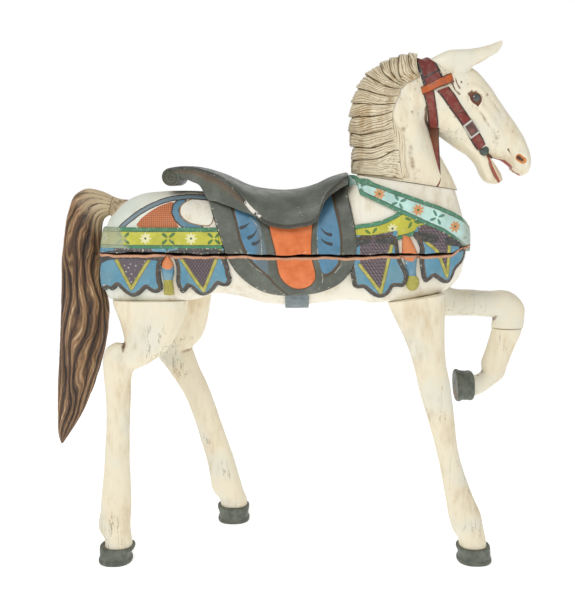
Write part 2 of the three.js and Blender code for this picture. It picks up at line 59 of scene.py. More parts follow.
def makeStudio():
    scene = bpy.context.scene
    camera = bpy.data.objects.new("camera", bpy.data.cameras.new("camera"))
    scene.collection.objects.link(camera)
    camera.location = studio["camera"]
    camera.rotation_euler = (math.radians(90 - studio["pitch"]), 0, 0)
    camera.data.lens = studio["lens"]
    camera.data.sensor_width = 36
    scene.camera = camera
    scene.view_settings.view_transform = "Standard"
    world = bpy.data.worlds.new("studio")
    scene.world = world
    world.use_nodes = True
    background = world.node_tree.nodes["Background"]
    background.inputs["Color"].default_value = (1.0, 1.0, 1.0, 1)
    seen = world.node_tree.nodes.new("ShaderNodeLightPath")
    # the backdrop itself is whiter than the light it gives
    level = world.node_tree.nodes.new("ShaderNodeMapRange")
    level.inputs["To Min"].default_value = studio["worldStrength"]
    level.inputs["To Max"].default_value = 1.0
    world.node_tree.links.new(seen.outputs["Is Camera Ray"], level.inputs["Value"])
    world.node_tree.links.new(level.outputs["Result"], background.inputs["Strength"])
    lamps = [  # name, place, size, watts
        ("keyLight", (-1.2, -2.4, 3.0), 1.6, 46),
        ("fillLight", (2.4, -2.2, 1.6), 1.8, 6),
        ("backLight", (0.6, 2.6, 2.6), 2.0, 12),
    ]
    for name, place, size, watts in lamps:
        lamp = bpy.data.lights.new(name, "AREA")
        lamp.size = size
        lamp.energy = watts
        body = bpy.data.objects.new(name, lamp)
        body.location = place
        body.rotation_euler = (Vector((0, 0, 0.7)) - Vector(place)).to_track_quat("-Z", "Y").to_euler()
        scene.collection.objects.link(body)
    floorMesh = bpy.data.meshes.new("floor")
    reach = 14
    floorMesh.from_pydata([(-reach, -reach, 0), (reach, -reach, 0), (reach, reach, 0), (-reach, reach, 0)],
                          [],
                          [(0, 1, 2, 3)])
    floor = bpy.data.objects.new("floor", floorMesh)
    scene.collection.objects.link(floor)
    coat = bpy.data.materials.new("floorPaint")
    coat.use_nodes = True
    shader = coat.node_tree.nodes["Principled BSDF"]
    shader.inputs["Base Color"].default_value = (*studio["floorColour"], 1)
    shader.inputs["Roughness"].default_value = 0.9
    shader.inputs["Emission Color"].default_value = (1, 1, 1, 1)
    shader.inputs["Emission Strength"].default_value = studio["floorGlow"]
    floorMesh.materials.append(coat)


makeStudio()
print("studio ready")


# numbers to surfaces

def smoothThrough(stations, rows, at):
    # a smooth curve through the rows, which stand at increasing stations, read at other places
    stations = np.asarray(stations, float)
    rows = np.asarray(rows, float)
    at = np.clip(np.asarray(at, float), stations[0], stations[-1])
    gap = np.diff(stations)
    slope = np.diff(rows, axis=0) / gap[:, None]
    inner = (slope[:-1] * gap[1:, None] + slope[1:] * gap[:-1, None]) / (gap[1:] + gap[:-1])[:, None]
    tangent = np.vstack([slope[:1], inner, slope[-1:]])
    k = np.clip(np.searchsorted(stations, at, side="right") - 1, 0, len(gap) - 1)
    h = gap[k][:, None]
    t = (at[:, None] - stations[k][:, None]) / h
    return ((2 * t ** 3 - 3 * t ** 2 + 1) * rows[k] + (t ** 3 - 2 * t ** 2 + t) * h * tangent[k]
            + (3 * t ** 2 - 2 * t ** 3) * rows[k + 1] + (t ** 3 - t ** 2) * h * tangent[k + 1])


def evenly(rows, count, placed=3):
    # count rows along a smooth curve, evenly spaced by the first few columns
    rows = np.asarray(rows, float)
    run = np.concatenate([[0], np.cumsum(np.linalg.norm(np.diff(rows[:, :placed], axis=0), axis=1))])
    return smoothThrough(run, rows, np.linspace(0, run[-1], count))


def latticeValue(i, j, k, seed):
    h = (i * 374761393 + j * 668265263 + k * 1440662683 + seed * 1274126177) & 0xFFFFFFFF
    h = ((h ^ (h >> 13)) * 1274126177) & 0xFFFFFFFF
    return ((h ^ (h >> 16)) & 0xFFFF) / 32767.5 - 1


def softNoise(points, size, seed=1, octaves=1):
    # smooth noise from -1 to 1; size is the distance over which it changes, one number or one for each axis
    total = np.zeros(len(points))
    size = np.asarray(size, float)
    weight, whole = 1.0, 0.0
    for octave in range(octaves):
        place = points / size
        cell = np.floor(place).astype(np.int64)
        part = place - cell
        part = part * part * (3 - 2 * part)
        value = np.zeros(len(points))
        for corner in range(8):
            step = np.array([corner & 1, corner >> 1 & 1, corner >> 2 & 1])
            share = np.prod(np.where(step, part, 1 - part), axis=1)
            value += share * latticeValue(*(cell + step).T, seed + octave * 17)
        total += weight * value
        whole += weight
        weight *= 0.5
        size = size / 2.1
    return total / whole


def easeIn(value, low, high):
    t = np.clip((value - low) / (high - low), 0, 1)
    return t * t * (3 - 2 * t)


def gridFaces(rows, columns, closed=False):
    # quads of a grid of points, row by row; closed joins the last column to the first
    last = columns if closed else columns - 1
    r, c = np.meshgrid(np.arange(rows - 1), np.arange(last), indexing="ij")
    here = (r * columns + c).ravel()
    beside = (r * columns + (c + 1) % columns).ravel()
    return np.stack([here, beside, beside + columns, here + columns], axis=1).tolist()


def tubeParts(grid):
    # a grid of closed rings as points and faces, with both ends filled
    rows, columns = grid.shape[:2]
    points = np.vstack([grid.reshape(-1, 3), grid[0].mean(axis=0), grid[-1].mean(axis=0)])
    faces = gridFaces(rows, columns, closed=True)
    first, final = rows * columns, rows * columns + 1
    for c in range(columns):
        n = (c + 1) % columns
        faces.append([first, n, c])
        faces.append([final, (rows - 1) * columns + c, (rows - 1) * columns + n])
    return points, faces


def makePiece(name, points, faces, smooth=True):
    mesh = bpy.data.meshes.new(name)
    mesh.from_pydata((np.asarray(points) * mm).tolist(), [], faces)
    piece = bpy.data.objects.new(name, mesh)
    bpy.context.scene.collection.objects.link(piece)
    turnOut(piece)
    mesh.polygons.foreach_set("use_smooth", [smooth] * len(mesh.polygons))
    return piece


def turnOut(piece):
    work = bmesh.new()
    work.from_mesh(piece.data)
    bmesh.ops.recalc_face_normals(work, faces=work.faces)
    work.to_mesh(piece.data)
    work.free()


def pointsOf(piece):
    flat = np.empty(len(piece.data.vertices) * 3)
    piece.data.vertices.foreach_get("co", flat)
    return flat.reshape(-1, 3) / mm


def normalsOf(piece):
    flat = np.empty(len(piece.data.vertices) * 3)
    piece.data.vertex_normals.foreach_get("vector", flat)
    return flat.reshape(-1, 3)


def placePoints(piece, points):
    piece.data.vertices.foreach_set("co", (points * mm).ravel())
    piece.data.update()


def addField(piece, name, values):
    # a number at every point, which the finish reads
    layer = piece.data.attributes.get(name) or piece.data.attributes.new(name, "FLOAT", "POINT")
    layer.data.foreach_set("value", np.ascontiguousarray(values, dtype=np.float32))


def edgesOf(piece):
    pairs = np.empty(len(piece.data.edges) * 2, dtype=np.int32)
    piece.data.edges.foreach_get("vertices", pairs)
    return pairs.reshape(-1, 2)


def averaged(values, pairs, rounds, share=0.5):
    # each value moved towards the mean of its neighbours, again and again
    count = np.bincount(pairs.ravel(), minlength=len(values)).clip(1)
    for _ in range(rounds):
        mean = np.stack([
            np.bincount(pairs[:, 0], values[pairs[:, 1], axis], len(values))
            + np.bincount(pairs[:, 1], values[pairs[:, 0], axis], len(values))
            for axis in range(values.shape[1])], axis=1) / count[:, None]
        values = values + share * (mean - values)
    return values


def addGrime(piece, rounds=14, depth=1.2):
    # how deep each point lies in a hollow (above 0) or how far it stands out (below 0), from -1 to 1
    points, pairs = pointsOf(piece), edgesOf(piece)
    normals = normalsOf(piece)
    near = ((averaged(points, pairs, rounds) - points) * normals).sum(axis=1)
    addField(piece, "grime", np.clip(near / depth, -1, 1))


def fused(name, solids, voxel, rounds=4):
    # several closed shapes, each points and faces, as one skin
    points, faces, start = [], [], 0
    for shapePoints, shapeFaces in solids:
        points.append(shapePoints)
        faces += [[corner + start for corner in face] for face in shapeFaces]
        start += len(shapePoints)
    piece = makePiece(name, np.vstack(points), faces)
    remesh = piece.modifiers.new("skin", "REMESH")
    remesh.mode = "VOXEL"
    remesh.voxel_size = voxel * mm
    graph = bpy.context.evaluated_depsgraph_get()
    skin = bpy.data.meshes.new_from_object(piece.evaluated_get(graph))
    piece.modifiers.clear()
    old = piece.data
    piece.data = skin
    bpy.data.meshes.remove(old)
    skin.name = name
    placePoints(piece, averaged(pointsOf(piece), edgesOf(piece), rounds))
    skin.polygons.foreach_set("use_smooth", [True] * len(skin.polygons))
    return piece


def lineDistance(points, line):
    # distance from each point to the nearest place on a line of points, in two or three dimensions
    line = np.asarray(line, float)
    if len(line) == 1:
        return np.linalg.norm(points - line[0], axis=1)
    best = np.full(len(points), 1e9)
    for start, end in zip(line[:-1], line[1:]):
        run = end - start
        t = np.clip((points - start) @ run / max(run @ run, 1e-9), 0, 1)
        best = np.minimum(best, np.linalg.norm(points - start - t[:, None] * run, axis=1))
    return best


def insideOutline(points, outline):
    x, z = points[:, 0], points[:, 1]
    inside = np.zeros(len(points), bool)
    for (x0, z0), (x1, z1) in zip(outline, np.roll(outline, -1, axis=0)):
        if z0 != z1:
            inside ^= ((z0 > z) != (z1 > z)) & (x < (x1 - x0) * (z - z0) / (z1 - z0) + x0)
    return inside


def edgeDistance(points, outline):
    # how far inside a closed outline each point is; below zero outside it
    outline = np.asarray(outline, float)
    away = lineDistance(points, np.vstack([outline, outline[:1]]))
    return np.where(insideOutline(points, outline), away, -away)


def carve(piece, strokes):
    # strokes are (line or single point, width, height): below zero cuts in, above zero raises
    points, normals = pointsOf(piece), normalsOf(piece)
    lift = np.zeros(len(points))
    for line, width, height in strokes:
        line = np.asarray(line, float).reshape(-1, 3)
        lift += height * np.exp(-(lineDistance(points, line) / width) ** 2)
    placePoints(piece, points + normals * lift[:, None])


def roundedOutline(points, rounds=3):
    # cuts the corners of a closed outline, except where a point's third number is 1
    loop = [(p[0], p[1], len(p) > 2 and p[2] == 1) for p in points]
    for _ in range(rounds):
        cut = []
        for (x, z, sharp), (nx, nz, nextSharp) in zip(loop, loop[1:] + loop[:1]):
            cut.append((x, z, True) if sharp else (0.75 * x + 0.25 * nx, 0.75 * z + 0.25 * nz, False))
            if sharp:
                cut.append((0.75 * x + 0.25 * nx, 0.75 * z + 0.25 * nz, False))
            if not nextSharp:
                cut.append((0.25 * x + 0.75 * nx, 0.25 * z + 0.75 * nz, False))
        loop = cut
    return np.array([(x, z) for x, z, _ in loop])


def spacedOutline(outline, spacing):
    # extra points on a closed outline so that none are further apart than spacing
    made = []
    for start, end in zip(outline, np.roll(outline, -1, axis=0)):
        steps = max(1, int(np.ceil(np.linalg.norm(end - start) / spacing)))
        made += [start + (end - start) * k / steps for k in range(steps)]
    return np.array(made)


print("helpers ready")


# trunk: barrel, rump and chest

trunkShape = {
    "sections": [  # x, top, bottom, half width, squareness above and below
        (-490, 842, 694, 92, 2.4, 3.4), (-483, 878, 684, 104, 2.4, 4), (-466, 905, 672, 114, 2.3, 4.5),
        (-440, 930, 666, 121, 2.3, 5), (-405, 947, 664, 126, 2.3, 5), (-350, 955, 664, 130, 2.3, 5),
        (-280, 957, 668, 131, 2.3, 4.5), (-215, 954, 692, 131, 2.3, 3.4), (-150, 950, 684, 131, 2.3, 2.8),
        (-80, 946, 665, 132, 2.3, 2.6), (0, 946, 660, 132, 2.3, 2.6), (80, 955, 668, 131, 2.3, 2.8),
        (128, 984, 674, 130, 2.5, 3.2), (160, 1028, 674, 128, 2.8, 4), (225, 1028, 662, 127, 2.8, 4.5),
        (300, 1020, 672, 122, 2.8, 4.5), (360, 1008, 688, 112, 2.8, 4), (396, 990, 704, 101, 2.8, 3.4),
        (412, 944, 718, 94, 2.8, 3), (425, 905, 738, 82, 2.6, 2.8), (434, 878, 768, 64, 2.4, 2.4),
    ],
    "rings": (14, 214, 14),     # rings at the rump's end, along the barrel and at the chest's end
    "endBulge": 6,              # how far the rounded ends stand past the last section
    "rows": (16, 34, 36, 26),   # rows below, on the lower flank, on the upper flank and above
    "hindSeam": 683,
    "foreSeam": (232, 679, 0.144),
    "neckSeam": (162, 995, -0.1475),
    "crackDepth": 22,
}


def crackLevel(x):
    # middle of the open seam along the right flank
    level = np.interp(x, [-500, -420, -185, 9, 300, 390, 406, 450],
                      [803, 805, 801, 798, 801, 803, 812, 822])
    return level + 1.3 * np.sin(x / 31) + 0.7 * np.sin(x / 11 + 1)


def crackHalf(x):
    # half height of the open seam
    wide = np.interp(x, [-500, -470, -380, -100, 60, 200, 380, 405, 450],
                     [1.2, 2.4, 3.6, 3.2, 3.8, 3.4, 3.2, 1.6, 0.9])
    return wide + 0.6 * np.sin(x / 17) + 0.35 * np.sin(x / 6.1)


def seamBelow(x):
    anchor, level, slope = trunkShape["foreSeam"]
    fore = np.where((x > 185) & (x < 402), level + (x - anchor) * slope, -1e9)
    return np.where(x < -236, trunkShape["hindSeam"], fore)


def seamAbove(x):
    anchor, level, slope = trunkShape["neckSeam"]
    return np.where(x > 129, level + (x - anchor) * slope, 1e9)


def trunkRings(open=True):
    # the right half's rings of points, bottom to top, at even steps along the horse
    shape = trunkShape
    stations = [row[0] for row in shape["sections"]]
    rear, along, chest = shape["rings"]
    xs = np.concatenate([np.linspace(stations[0], -440, rear)[:-1], np.linspace(-440, 396, along)[:-1],
                         np.linspace(396, stations[-1], chest)])
    top, bottom, wide, squareTop, squareBottom = smoothThrough(stations, [r[1:] for r in shape["sections"]],
                                                               xs).T
    middle, half = (top + bottom) / 2, (top - bottom) / 2

    def widthAt(z):
        lift = (z - middle) / half
        power = np.where(lift > 0, squareTop, squareBottom)
        return wide * np.maximum(1 - np.abs(lift) ** power, 0) ** (1 / power)

    low = np.maximum(middle - 0.9 * half, seamBelow(xs))
    high = np.minimum(middle + 0.9 * half, seamAbove(xs))
    under, lower, upper, over = shape["rows"]
    rows = []
    for t in np.linspace(0, 1, under)[:-1]:
        y = widthAt(low) * t
        z = middle - half * np.maximum(1 - (y / wide) ** squareBottom, 0) ** (1 / squareBottom)
        rows.append((y, np.maximum(z, seamBelow(xs)), 0 * xs))
    centre, gape = crackLevel(xs), crackHalf(xs)
    for t in np.linspace(0, 1, lower)[:-1]:
        z = low + (centre - 10 - low) * t
        rows.append((widthAt(z), z, 0 * xs))
    depth = shape["crackDepth"] if open else 0
    for lift, push in [(-10, 0), (-6, 0.02), ("low", 0.05), (-1, 0.8), (0, 1), (1, 0.85), ("high", 0.03),
                       (8, 0)]:
        z = centre + {"low": -gape, "high": gape}.get(lift, lift)
        rows.append((widthAt(z) - depth * push, z, 0 * xs))
    for t in np.linspace(0, 1, upper)[1:]:
        z = centre + 8 + (high - centre - 8) * t
        rows.append((widthAt(z), z, 0 * xs))
    for t in np.linspace(1, 0, over)[1:]:
        y = widthAt(high) * t
        z = middle + half * np.maximum(1 - (y / wide) ** squareTop, 0) ** (1 / squareTop)
        rows.append((y, np.minimum(z, seamAbove(xs)), 0 * xs))
    rings = np.array([[xs + 0 * y, -y, z] for y, z, _ in rows]).transpose(2, 0, 1)

    def closing(ring, way):
        heart = np.array([ring[0, 0], 0, (ring[0, 2] + ring[-1, 2]) / 2])
        made = []
        for turn in np.linspace(0, math.pi / 2, 12)[1:-1]:
            made.append(heart + (ring - heart) * math.cos(turn) + [way * shape["endBulge"] * math.sin(turn),
                                                                   0, 0])
        return made

    return np.array(closing(rings[0], -1)[::-1] + list(rings) + closing(rings[-1], 1))


def wholeTrunk(openRight=True):
    right, left = trunkRings(openRight), trunkRings(False)
    left = left[:, -2:0:-1] * [1, -1, 1]
    return tubeParts(np.concatenate([right, left], axis=1))


trunk = makePiece("trunk", *wholeTrunk())
print("trunk:", len(trunk.data.polygons), "faces")

# plan of the flank as seen from above: straight along the barrel, then round the rump or the chest
# pivot x, reach, half width, direction
planTurns = {"rear": (-440, 54, 122, -1), "chest": (380, 58, 108, 1)}


def turnTable(end):
    pivot, reach, wide, way = planTurns[end]
    angles = np.linspace(0, math.pi / 2, 90)
    power = 2.5
    radius = ((np.sin(angles) / reach) ** power + (np.cos(angles) / wide) ** power) ** (-1 / power)
    x, y = radius * np.sin(angles), radius * np.cos(angles)
    run = np.concatenate([[0], np.cumsum(np.hypot(np.diff(x), np.diff(y)))])
    return angles, run


rearTurn, chestTurn = turnTable("rear"), turnTable("chest")


def alongFlank(x, y):
    # distance along the flank, which is x itself on the barrel
    rear, chest = planTurns["rear"][0], planTurns["chest"][0]
    y = np.abs(y)
    behind = rear - np.interp(np.arctan2(rear - x, y), *rearTurn)
    ahead = chest + np.interp(np.arctan2(x - chest, y), *chestTurn)
    return np.where(x < rear, behind, np.where(x > chest, ahead, x))


def raysFrom(along, side):
    # where the ray that looks at each place on the flank starts, and its direction
    rear, chest = planTurns["rear"][0], planTurns["chest"][0]
    angle = (np.interp(along - chest, chestTurn[1], chestTurn[0])
             - np.interp(rear - along, rearTurn[1], rearTurn[0]))
    pivot = np.clip(along, rear, chest)
    away = np.stack([np.sin(angle), side * np.cos(angle)], axis=1)
    return np.stack([pivot, 0 * pivot], axis=1) + away * 400, -away


skins = {}


def grownTrunk(by):
    # the trunk's closed surface, further out by so many millimetres, ready to cast rays at
    if by not in skins:
        points, faces = wholeTrunk(False)
        if "normals" not in skins:
            shell = makePiece("shell", points, faces)
            skins["normals"] = normalsOf(shell)
            bpy.data.objects.remove(shell)
        skins[by] = BVHTree.FromPolygons((points + skins["normals"] * by).tolist(), faces)
    return skins[by]


shoulderRun = 90    # millimetres of level for each radian that a ray leans above the shoulder


def shoulder(x):
    # above this level a place on the flank is found from the side of the back;
    # returns it, half its width, and the top
    x = np.clip(x, planTurns["rear"][0], planTurns["chest"][0])
    size = smoothThrough([row[0] for row in trunkShape["sections"]],
                         [row[1:] for row in trunkShape["sections"]], x)
    top, bottom, wide, square = size[:, 0], size[:, 1], size[:, 2], size[:, 3]
    middle, half = (top + bottom) / 2, (top - bottom) / 2
    return middle + 0.72 * half, wide, top, middle, half, square


def levelOf(x, z):
    # the level of a place on the flank that is seen from the side at height z
    start, wide, top, middle, half, square = shoulder(x)
    height = np.minimum(z, top - 0.5)
    out = wide * np.maximum(1 - np.abs((height - middle) / half) ** square, 0) ** (1 / square)
    lean = np.arctan2(height - start, out - wide / 2)
    return np.where(z > start, start + shoulderRun * lean, z)


def onTrunk(along, level, by, side=-1):
    # points of the flank at these places, further out by so many millimetres
    starts, aims = raysFrom(along, side)
    start, wide = shoulder(along)[:2]
    lean = np.maximum(level - start, 0) / shoulderRun
    tree = grownTrunk(by)
    found = np.empty((len(along), 3))
    for k, ((x, y), (dx, dy), z) in enumerate(zip(starts, aims, level)):
        if lean[k] > 0:
            heart = np.array([x, side * wide[k] / 2, start[k]])
            out = np.array([0, side * math.cos(lean[k]), math.sin(lean[k])])
            origin, aim = heart + out * 400, -out
        else:
            origin, aim = (x, y, z), (dx, dy, 0)
        hit = tree.ray_cast(Vector(origin), Vector(aim))[0]
        found[k] = hit if hit is not None else np.array(origin) + np.array(aim) * 400
    return found


def drapedPiece(name, outline, relief, side=-1, spacing=3.0, profile=((0, 0.55), (0.9, 0.86), (2.5, 1.0)),
                cut=True,
                base=0.0, carved=()):
    # a carved layer on the flank inside an outline of (along, level) points;
    # returns it with each point's place.
    # profile gives the share of the relief at distances in from the edge;
    # carved lists (line, width, depth) grooves
    outline = np.asarray(outline, float)
    outline = np.stack([outline[:, 0], levelOf(outline[:, 0], outline[:, 1])], axis=1)
    outline = spacedOutline(outline, spacing)
    lowest, highest = outline.min(axis=0), outline.max(axis=0)
    columns = np.arange(lowest[0], highest[0], spacing)
    rows = np.arange(lowest[1], highest[1], spacing * 0.866)
    lattice = np.array([(c + (k % 2) * spacing / 2, r) for k, r in enumerate(rows) for c in columns])
    depth = edgeDistance(lattice, outline)
    steps = [step for step, _ in profile[1:]]
    clear = np.min([np.abs(depth - step) for step in steps], axis=0) > spacing * 0.45
    inner = lattice[(depth > spacing * 0.6) & clear]
    normal = np.roll(outline, -1, axis=0) - np.roll(outline, 1, axis=0)
    normal = np.stack([-normal[:, 1], normal[:, 0]], axis=1)
    normal /= np.linalg.norm(normal, axis=1)[:, None].clip(1e-9)
    ring = np.vstack([outline + way * normal * step for way in (-1, 1) for step in steps])
    wanted = np.repeat(np.tile(steps, 2), len(outline))
    ring = ring[np.abs(edgeDistance(ring, outline) - wanted) < 0.12 * wanted + 0.05]
    count = len(outline)
    edges = [(k, (k + 1) % count) for k in range(count)]
    if cut:
        for cloud in (ring, inner):
            off = np.abs(cloud[:, 1] - crackLevel(cloud[:, 0])) - crackHalf(cloud[:, 0])
            cloud[np.abs(off) < 0.9] = (1e6, 1e6)
        ring, inner = ring[ring[:, 0] < 1e5], inner[inner[:, 0] < 1e5]
    points = [outline, ring, inner]
    if cut:
        xs = np.arange(lowest[0] - 2, highest[0] + 2, spacing * 0.7)
        total = count + len(ring) + len(inner)
        for way in (-1, 1):
            line = np.stack([xs, crackLevel(xs) + way * crackHalf(xs)], axis=1)
            if lowest[1] < line[:, 1].max() and highest[1] > line[:, 1].min():
                points.append(line)
                edges += [(total + k, total + k + 1) for k in range(len(line) - 1)]
                total += len(line)
    made = delaunay_2d_cdt([Vector(p) for p in np.vstack(points).tolist()], edges, [], 0, 1e-4)
    flat = np.array([tuple(p) for p in made[0]])
    faces = np.array([f for f in made[2] if len(f) == 3])
    middle = flat[faces].mean(axis=1)
    keep = edgeDistance(middle, outline) > 0
    if cut:
        keep &= np.abs(middle[:, 1] - crackLevel(middle[:, 0])) > crackHalf(middle[:, 0])
    faces = faces[keep]
    used, faces = np.unique(faces, return_inverse=True)
    faces = faces.reshape(-1, 3)
    flat = flat[used]
    depth = edgeDistance(flat, outline)
    lift = np.interp(depth, [step for step, _ in profile], [share for _, share in profile])
    inside, outside = onTrunk(flat[:, 0], flat[:, 1], base, side), onTrunk(flat[:, 0], flat[:, 1], relief,
                                                                           side)
    seen = np.stack([flat[:, 0], np.where(flat[:, 1] > shoulder(flat[:, 0])[0], inside[:, 2], flat[:, 1])],
                    axis=1)
    for line, width, cutDepth in carved:
        lift -= cutDepth / (relief - base) * np.exp(-(lineDistance(seen,
                                                                   np.asarray(line, float)) / width) ** 2)
    points = inside + (outside - inside) * lift[:, None]
    corners = faces[:, [0, 1, 1, 2, 2, 0]].reshape(-1, 2)
    unique, counts = np.unique(np.sort(corners, axis=1), axis=0, return_counts=True)
    rimEdges = {tuple(edge) for edge in unique[counts == 1]}
    directed = [tuple(edge) for edge in corners if tuple(sorted(edge)) in rimEdges]
    borders = sorted({corner for edge in directed for corner in edge})
    below = {corner: len(points) + k for k, corner in enumerate(borders)}
    onCrack = np.abs(flat[borders, 1] - crackLevel(flat[borders, 0])) < crackHalf(flat[borders, 0]) + 0.3
    sink = np.where(onCrack & cut, 14.0, 3.0)
    away = outside[borders] - inside[borders]
    away /= np.linalg.norm(away, axis=1)[:, None].clip(1e-9)
    walls = inside[borders] - away * sink[:, None]
    quads = [[b, a, below[a], below[b]] for a, b in directed]
    piece = makePiece(name, np.vstack([points, walls]), faces.tolist() + quads)
    addField(piece, "wall", np.concatenate([np.zeros(len(points)), np.ones(len(walls))]))
    return piece, np.vstack([seen, seen[borders]])


print("draping ready")


# finishes

def colour(red, green, blue):
    # a screen colour from 0 to 255 as linear light
    parts = [c / 255 for c in (red, green, blue)]
    return (*[c / 12.92 if c <= 0.04045 else ((c + 0.055) / 1.055) ** 2.4 for c in parts], 1)


class Finish:
    # one material and short ways to wire its nodes

    def __init__(self, name):
        self.material = bpy.data.materials.new(name)
        self.material.use_nodes = True
        self.tree = self.material.node_tree
        self.shader = self.tree.nodes["Principled BSDF"]
        self.place = self.add("ShaderNodeTexCoord").outputs["Object"]

    def add(self, kind, inputs=(), **settings):
        node = self.tree.nodes.new(kind)
        for key, value in settings.items():
            setattr(node, key, value)
        for key, value in dict(inputs).items():
            self.plug(node.inputs[key], value)
        return node

    def plug(self, socket, value):
        if isinstance(value, bpy.types.NodeSocket):
            self.tree.links.new(value, socket)
        else:
            socket.default_value = value

    def calc(self, operation, a, b=0.0, c=0.0):
        return self.add("ShaderNodeMath", {0: a, 1: b, 2: c}, operation=operation).outputs[0]

    def mix(self, share, a, b, blend="MIX"):
        node = self.add("ShaderNodeMix", {0: share, 6: a, 7: b}, data_type="RGBA", blend_type=blend)
        node.clamp_factor = True
        return node.outputs[2]

    def step(self, value, low, high, start=0.0, end=1.0):
        # start where value is at low, end where it is at high, smooth between
        node = self.add("ShaderNodeMapRange", {0: value, 1: low, 2: high, 3: start, 4: end})
        node.interpolation_type = "SMOOTHSTEP"
        return node.outputs[0]

    def stretch(self, x=1.0, y=1.0, z=1.0):
        return self.add("ShaderNodeVectorMath", {0: self.place, 1: (x, y, z)},
                        operation="MULTIPLY").outputs[0]

    def noise(self, size, detail=4.0, rough=0.55, place=None, warp=0.0):
        # from 0 to 1; size in millimetres
        return self.add("ShaderNodeTexNoise", {"Vector": place or self.place, "Scale": 1000 / size,
                        "Detail": detail, "Roughness": rough, "Distortion": warp}).outputs["Fac"]

    def field(self, name):
        return self.add("ShaderNodeAttribute", attribute_name=name).outputs["Fac"]

    def crackle(self, size, thin=0.05):
        # fine cracks: 1 on a crack, 0 elsewhere
        cells = self.add("ShaderNodeTexVoronoi", {"Vector": self.bent(size), "Scale": 1000 / size},
                         feature="DISTANCE_TO_EDGE")
        return self.step(cells.outputs["Distance"], 0, thin, 1, 0)

    def bent(self, size, by=0.35):
        wobble = self.add("ShaderNodeTexNoise", {"Vector": self.place, "Scale": 700 / size, "Detail": 2.0})
        shift = self.add("ShaderNodeVectorMath", {0: wobble.outputs["Color"], 1: (by * size * mm,) * 3},
                         operation="MULTIPLY").outputs[0]
        return self.add("ShaderNodeVectorMath", {0: self.place, 1: shift}, operation="ADD").outputs[0]

    def finish(self, base, rough, height, strength=0.5, depth=1.0):
        # depth is the real height in millimetres between 0 and 1 of the height socket
        self.plug(self.shader.inputs["Base Color"], base)
        self.plug(self.shader.inputs["Roughness"], rough)
        bump = self.add("ShaderNodeBump", {"Height": height, "Strength": strength, "Distance": depth * mm})
        self.plug(self.shader.inputs["Normal"], bump.outputs["Normal"])
        return self.material


agedPaint = {   # what the years have done to every painted surface
    "stain": colour(120, 84, 46),
    "deepStain": colour(62, 40, 24),
    "gesso": colour(226, 216, 192),
    "bareWood": colour(164, 112, 76),
    "stainAt": 0.16,       # how deep a hollow has to be to hold brown stain
}


def weather(made, paint, stain=0.75, chips=0.0, dirt=0.35):
    # brown stain in hollows and in drifts, small chips down to the ground coat, and a worn, uneven colour
    grime = made.field("grime")
    drift = made.noise(95, 5, 0.6, made.stretch(1, 1, 0.55))
    streak = made.noise(16, 4, 0.6, made.stretch(1, 1, 0.3))
    speck = made.noise(5.5, 3, 0.6)
    tone = made.calc("ADD", made.calc("MULTIPLY", drift, 0.6), made.calc("MULTIPLY", streak, 0.4))
    paint = made.mix(made.step(tone, 0.47, 0.72, 0, dirt), paint,
                     made.mix(1.0, paint, colour(204, 176, 130), "MULTIPLY"))
    hollow = made.step(made.calc("ADD", grime, made.calc("MULTIPLY_ADD", streak, 0.7, -0.35)), 0.08, 0.62)
    paint = made.mix(made.calc("MULTIPLY", hollow, stain), paint, agedPaint["stain"])
    deep = made.step(made.calc("ADD", grime, made.calc("MULTIPLY_ADD", speck, 0.5, -0.25)), 0.5, 0.95)
    paint = made.mix(made.calc("MULTIPLY", deep, stain), paint, agedPaint["deepStain"])
    fleck = made.step(made.noise(9, 5, 0.7), 0.70, 0.74)
    paint = made.mix(made.calc("MULTIPLY", fleck, 0.35), paint, agedPaint["stain"])
    if chips:
        worn = made.calc("SUBTRACT", made.noise(7, 5, 0.7), made.calc("MULTIPLY", grime, 0.16))
        edge = made.step(worn, 0.80 - 0.1 * chips, 0.83 - 0.1 * chips)
        paint = made.mix(made.calc("MULTIPLY", edge, 0.9), paint, agedPaint["gesso"])
    return paint


def woodRelief(made):
    # height of the wood grain, the brush marks and the craquelure, from 0 to 1
    grain = made.noise(9, 5, 0.6, made.stretch(0.35, 1, 0.35))
    brush = made.noise(3.2, 3, 0.5)
    cracks = made.crackle(17, 0.035)
    height = made.calc("ADD", made.calc("MULTIPLY", grain, 0.55), made.calc("MULTIPLY", brush, 0.35))
    return made.calc("SUBTRACT", height, made.calc("MULTIPLY", cracks, 0.25))


def roughnessOf(made, middle=0.55, spread=0.22):
    return made.step(made.noise(24, 4, 0.6), 0.3, 0.7, middle - spread / 2, middle + spread / 2)


def creamFinish(name="creamPaint", shade=(232, 222, 196)):
    made = Finish(name)
    cool = made.mix(made.step(made.noise(130, 3, 0.5), 0.45, 0.65), colour(*shade), colour(225, 221, 203))
    paint = weather(made, cool, stain=0.8, chips=0.0, dirt=0.5)
    hair = made.noise(34, 5, 0.6, made.stretch(1, 1, 0.12))
    line = made.step(made.calc("ABSOLUTE", made.calc("SUBTRACT", hair, 0.5)), 0.0, 0.012, 1, 0)
    some = made.step(made.noise(120, 2, 0.5), 0.52, 0.62)
    paint = made.mix(made.calc("MULTIPLY", made.calc("MULTIPLY", line, some), 0.55), paint,
                     agedPaint["deepStain"])
    return made.finish(paint, roughnessOf(made, 0.5), woodRelief(made), 0.35, 1.2)


creamPaint = creamFinish()
print("finishes ready")


def settle(piece, material, slot, *nodes):
    # finish, moving part and the plain solids that the piece stands for
    piece.data.materials.clear()
    piece.data.materials.append(material)
    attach(piece, "root")
    if nodes:
        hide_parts(*nodes)
    return piece


# rump paint and the trunk's own finish

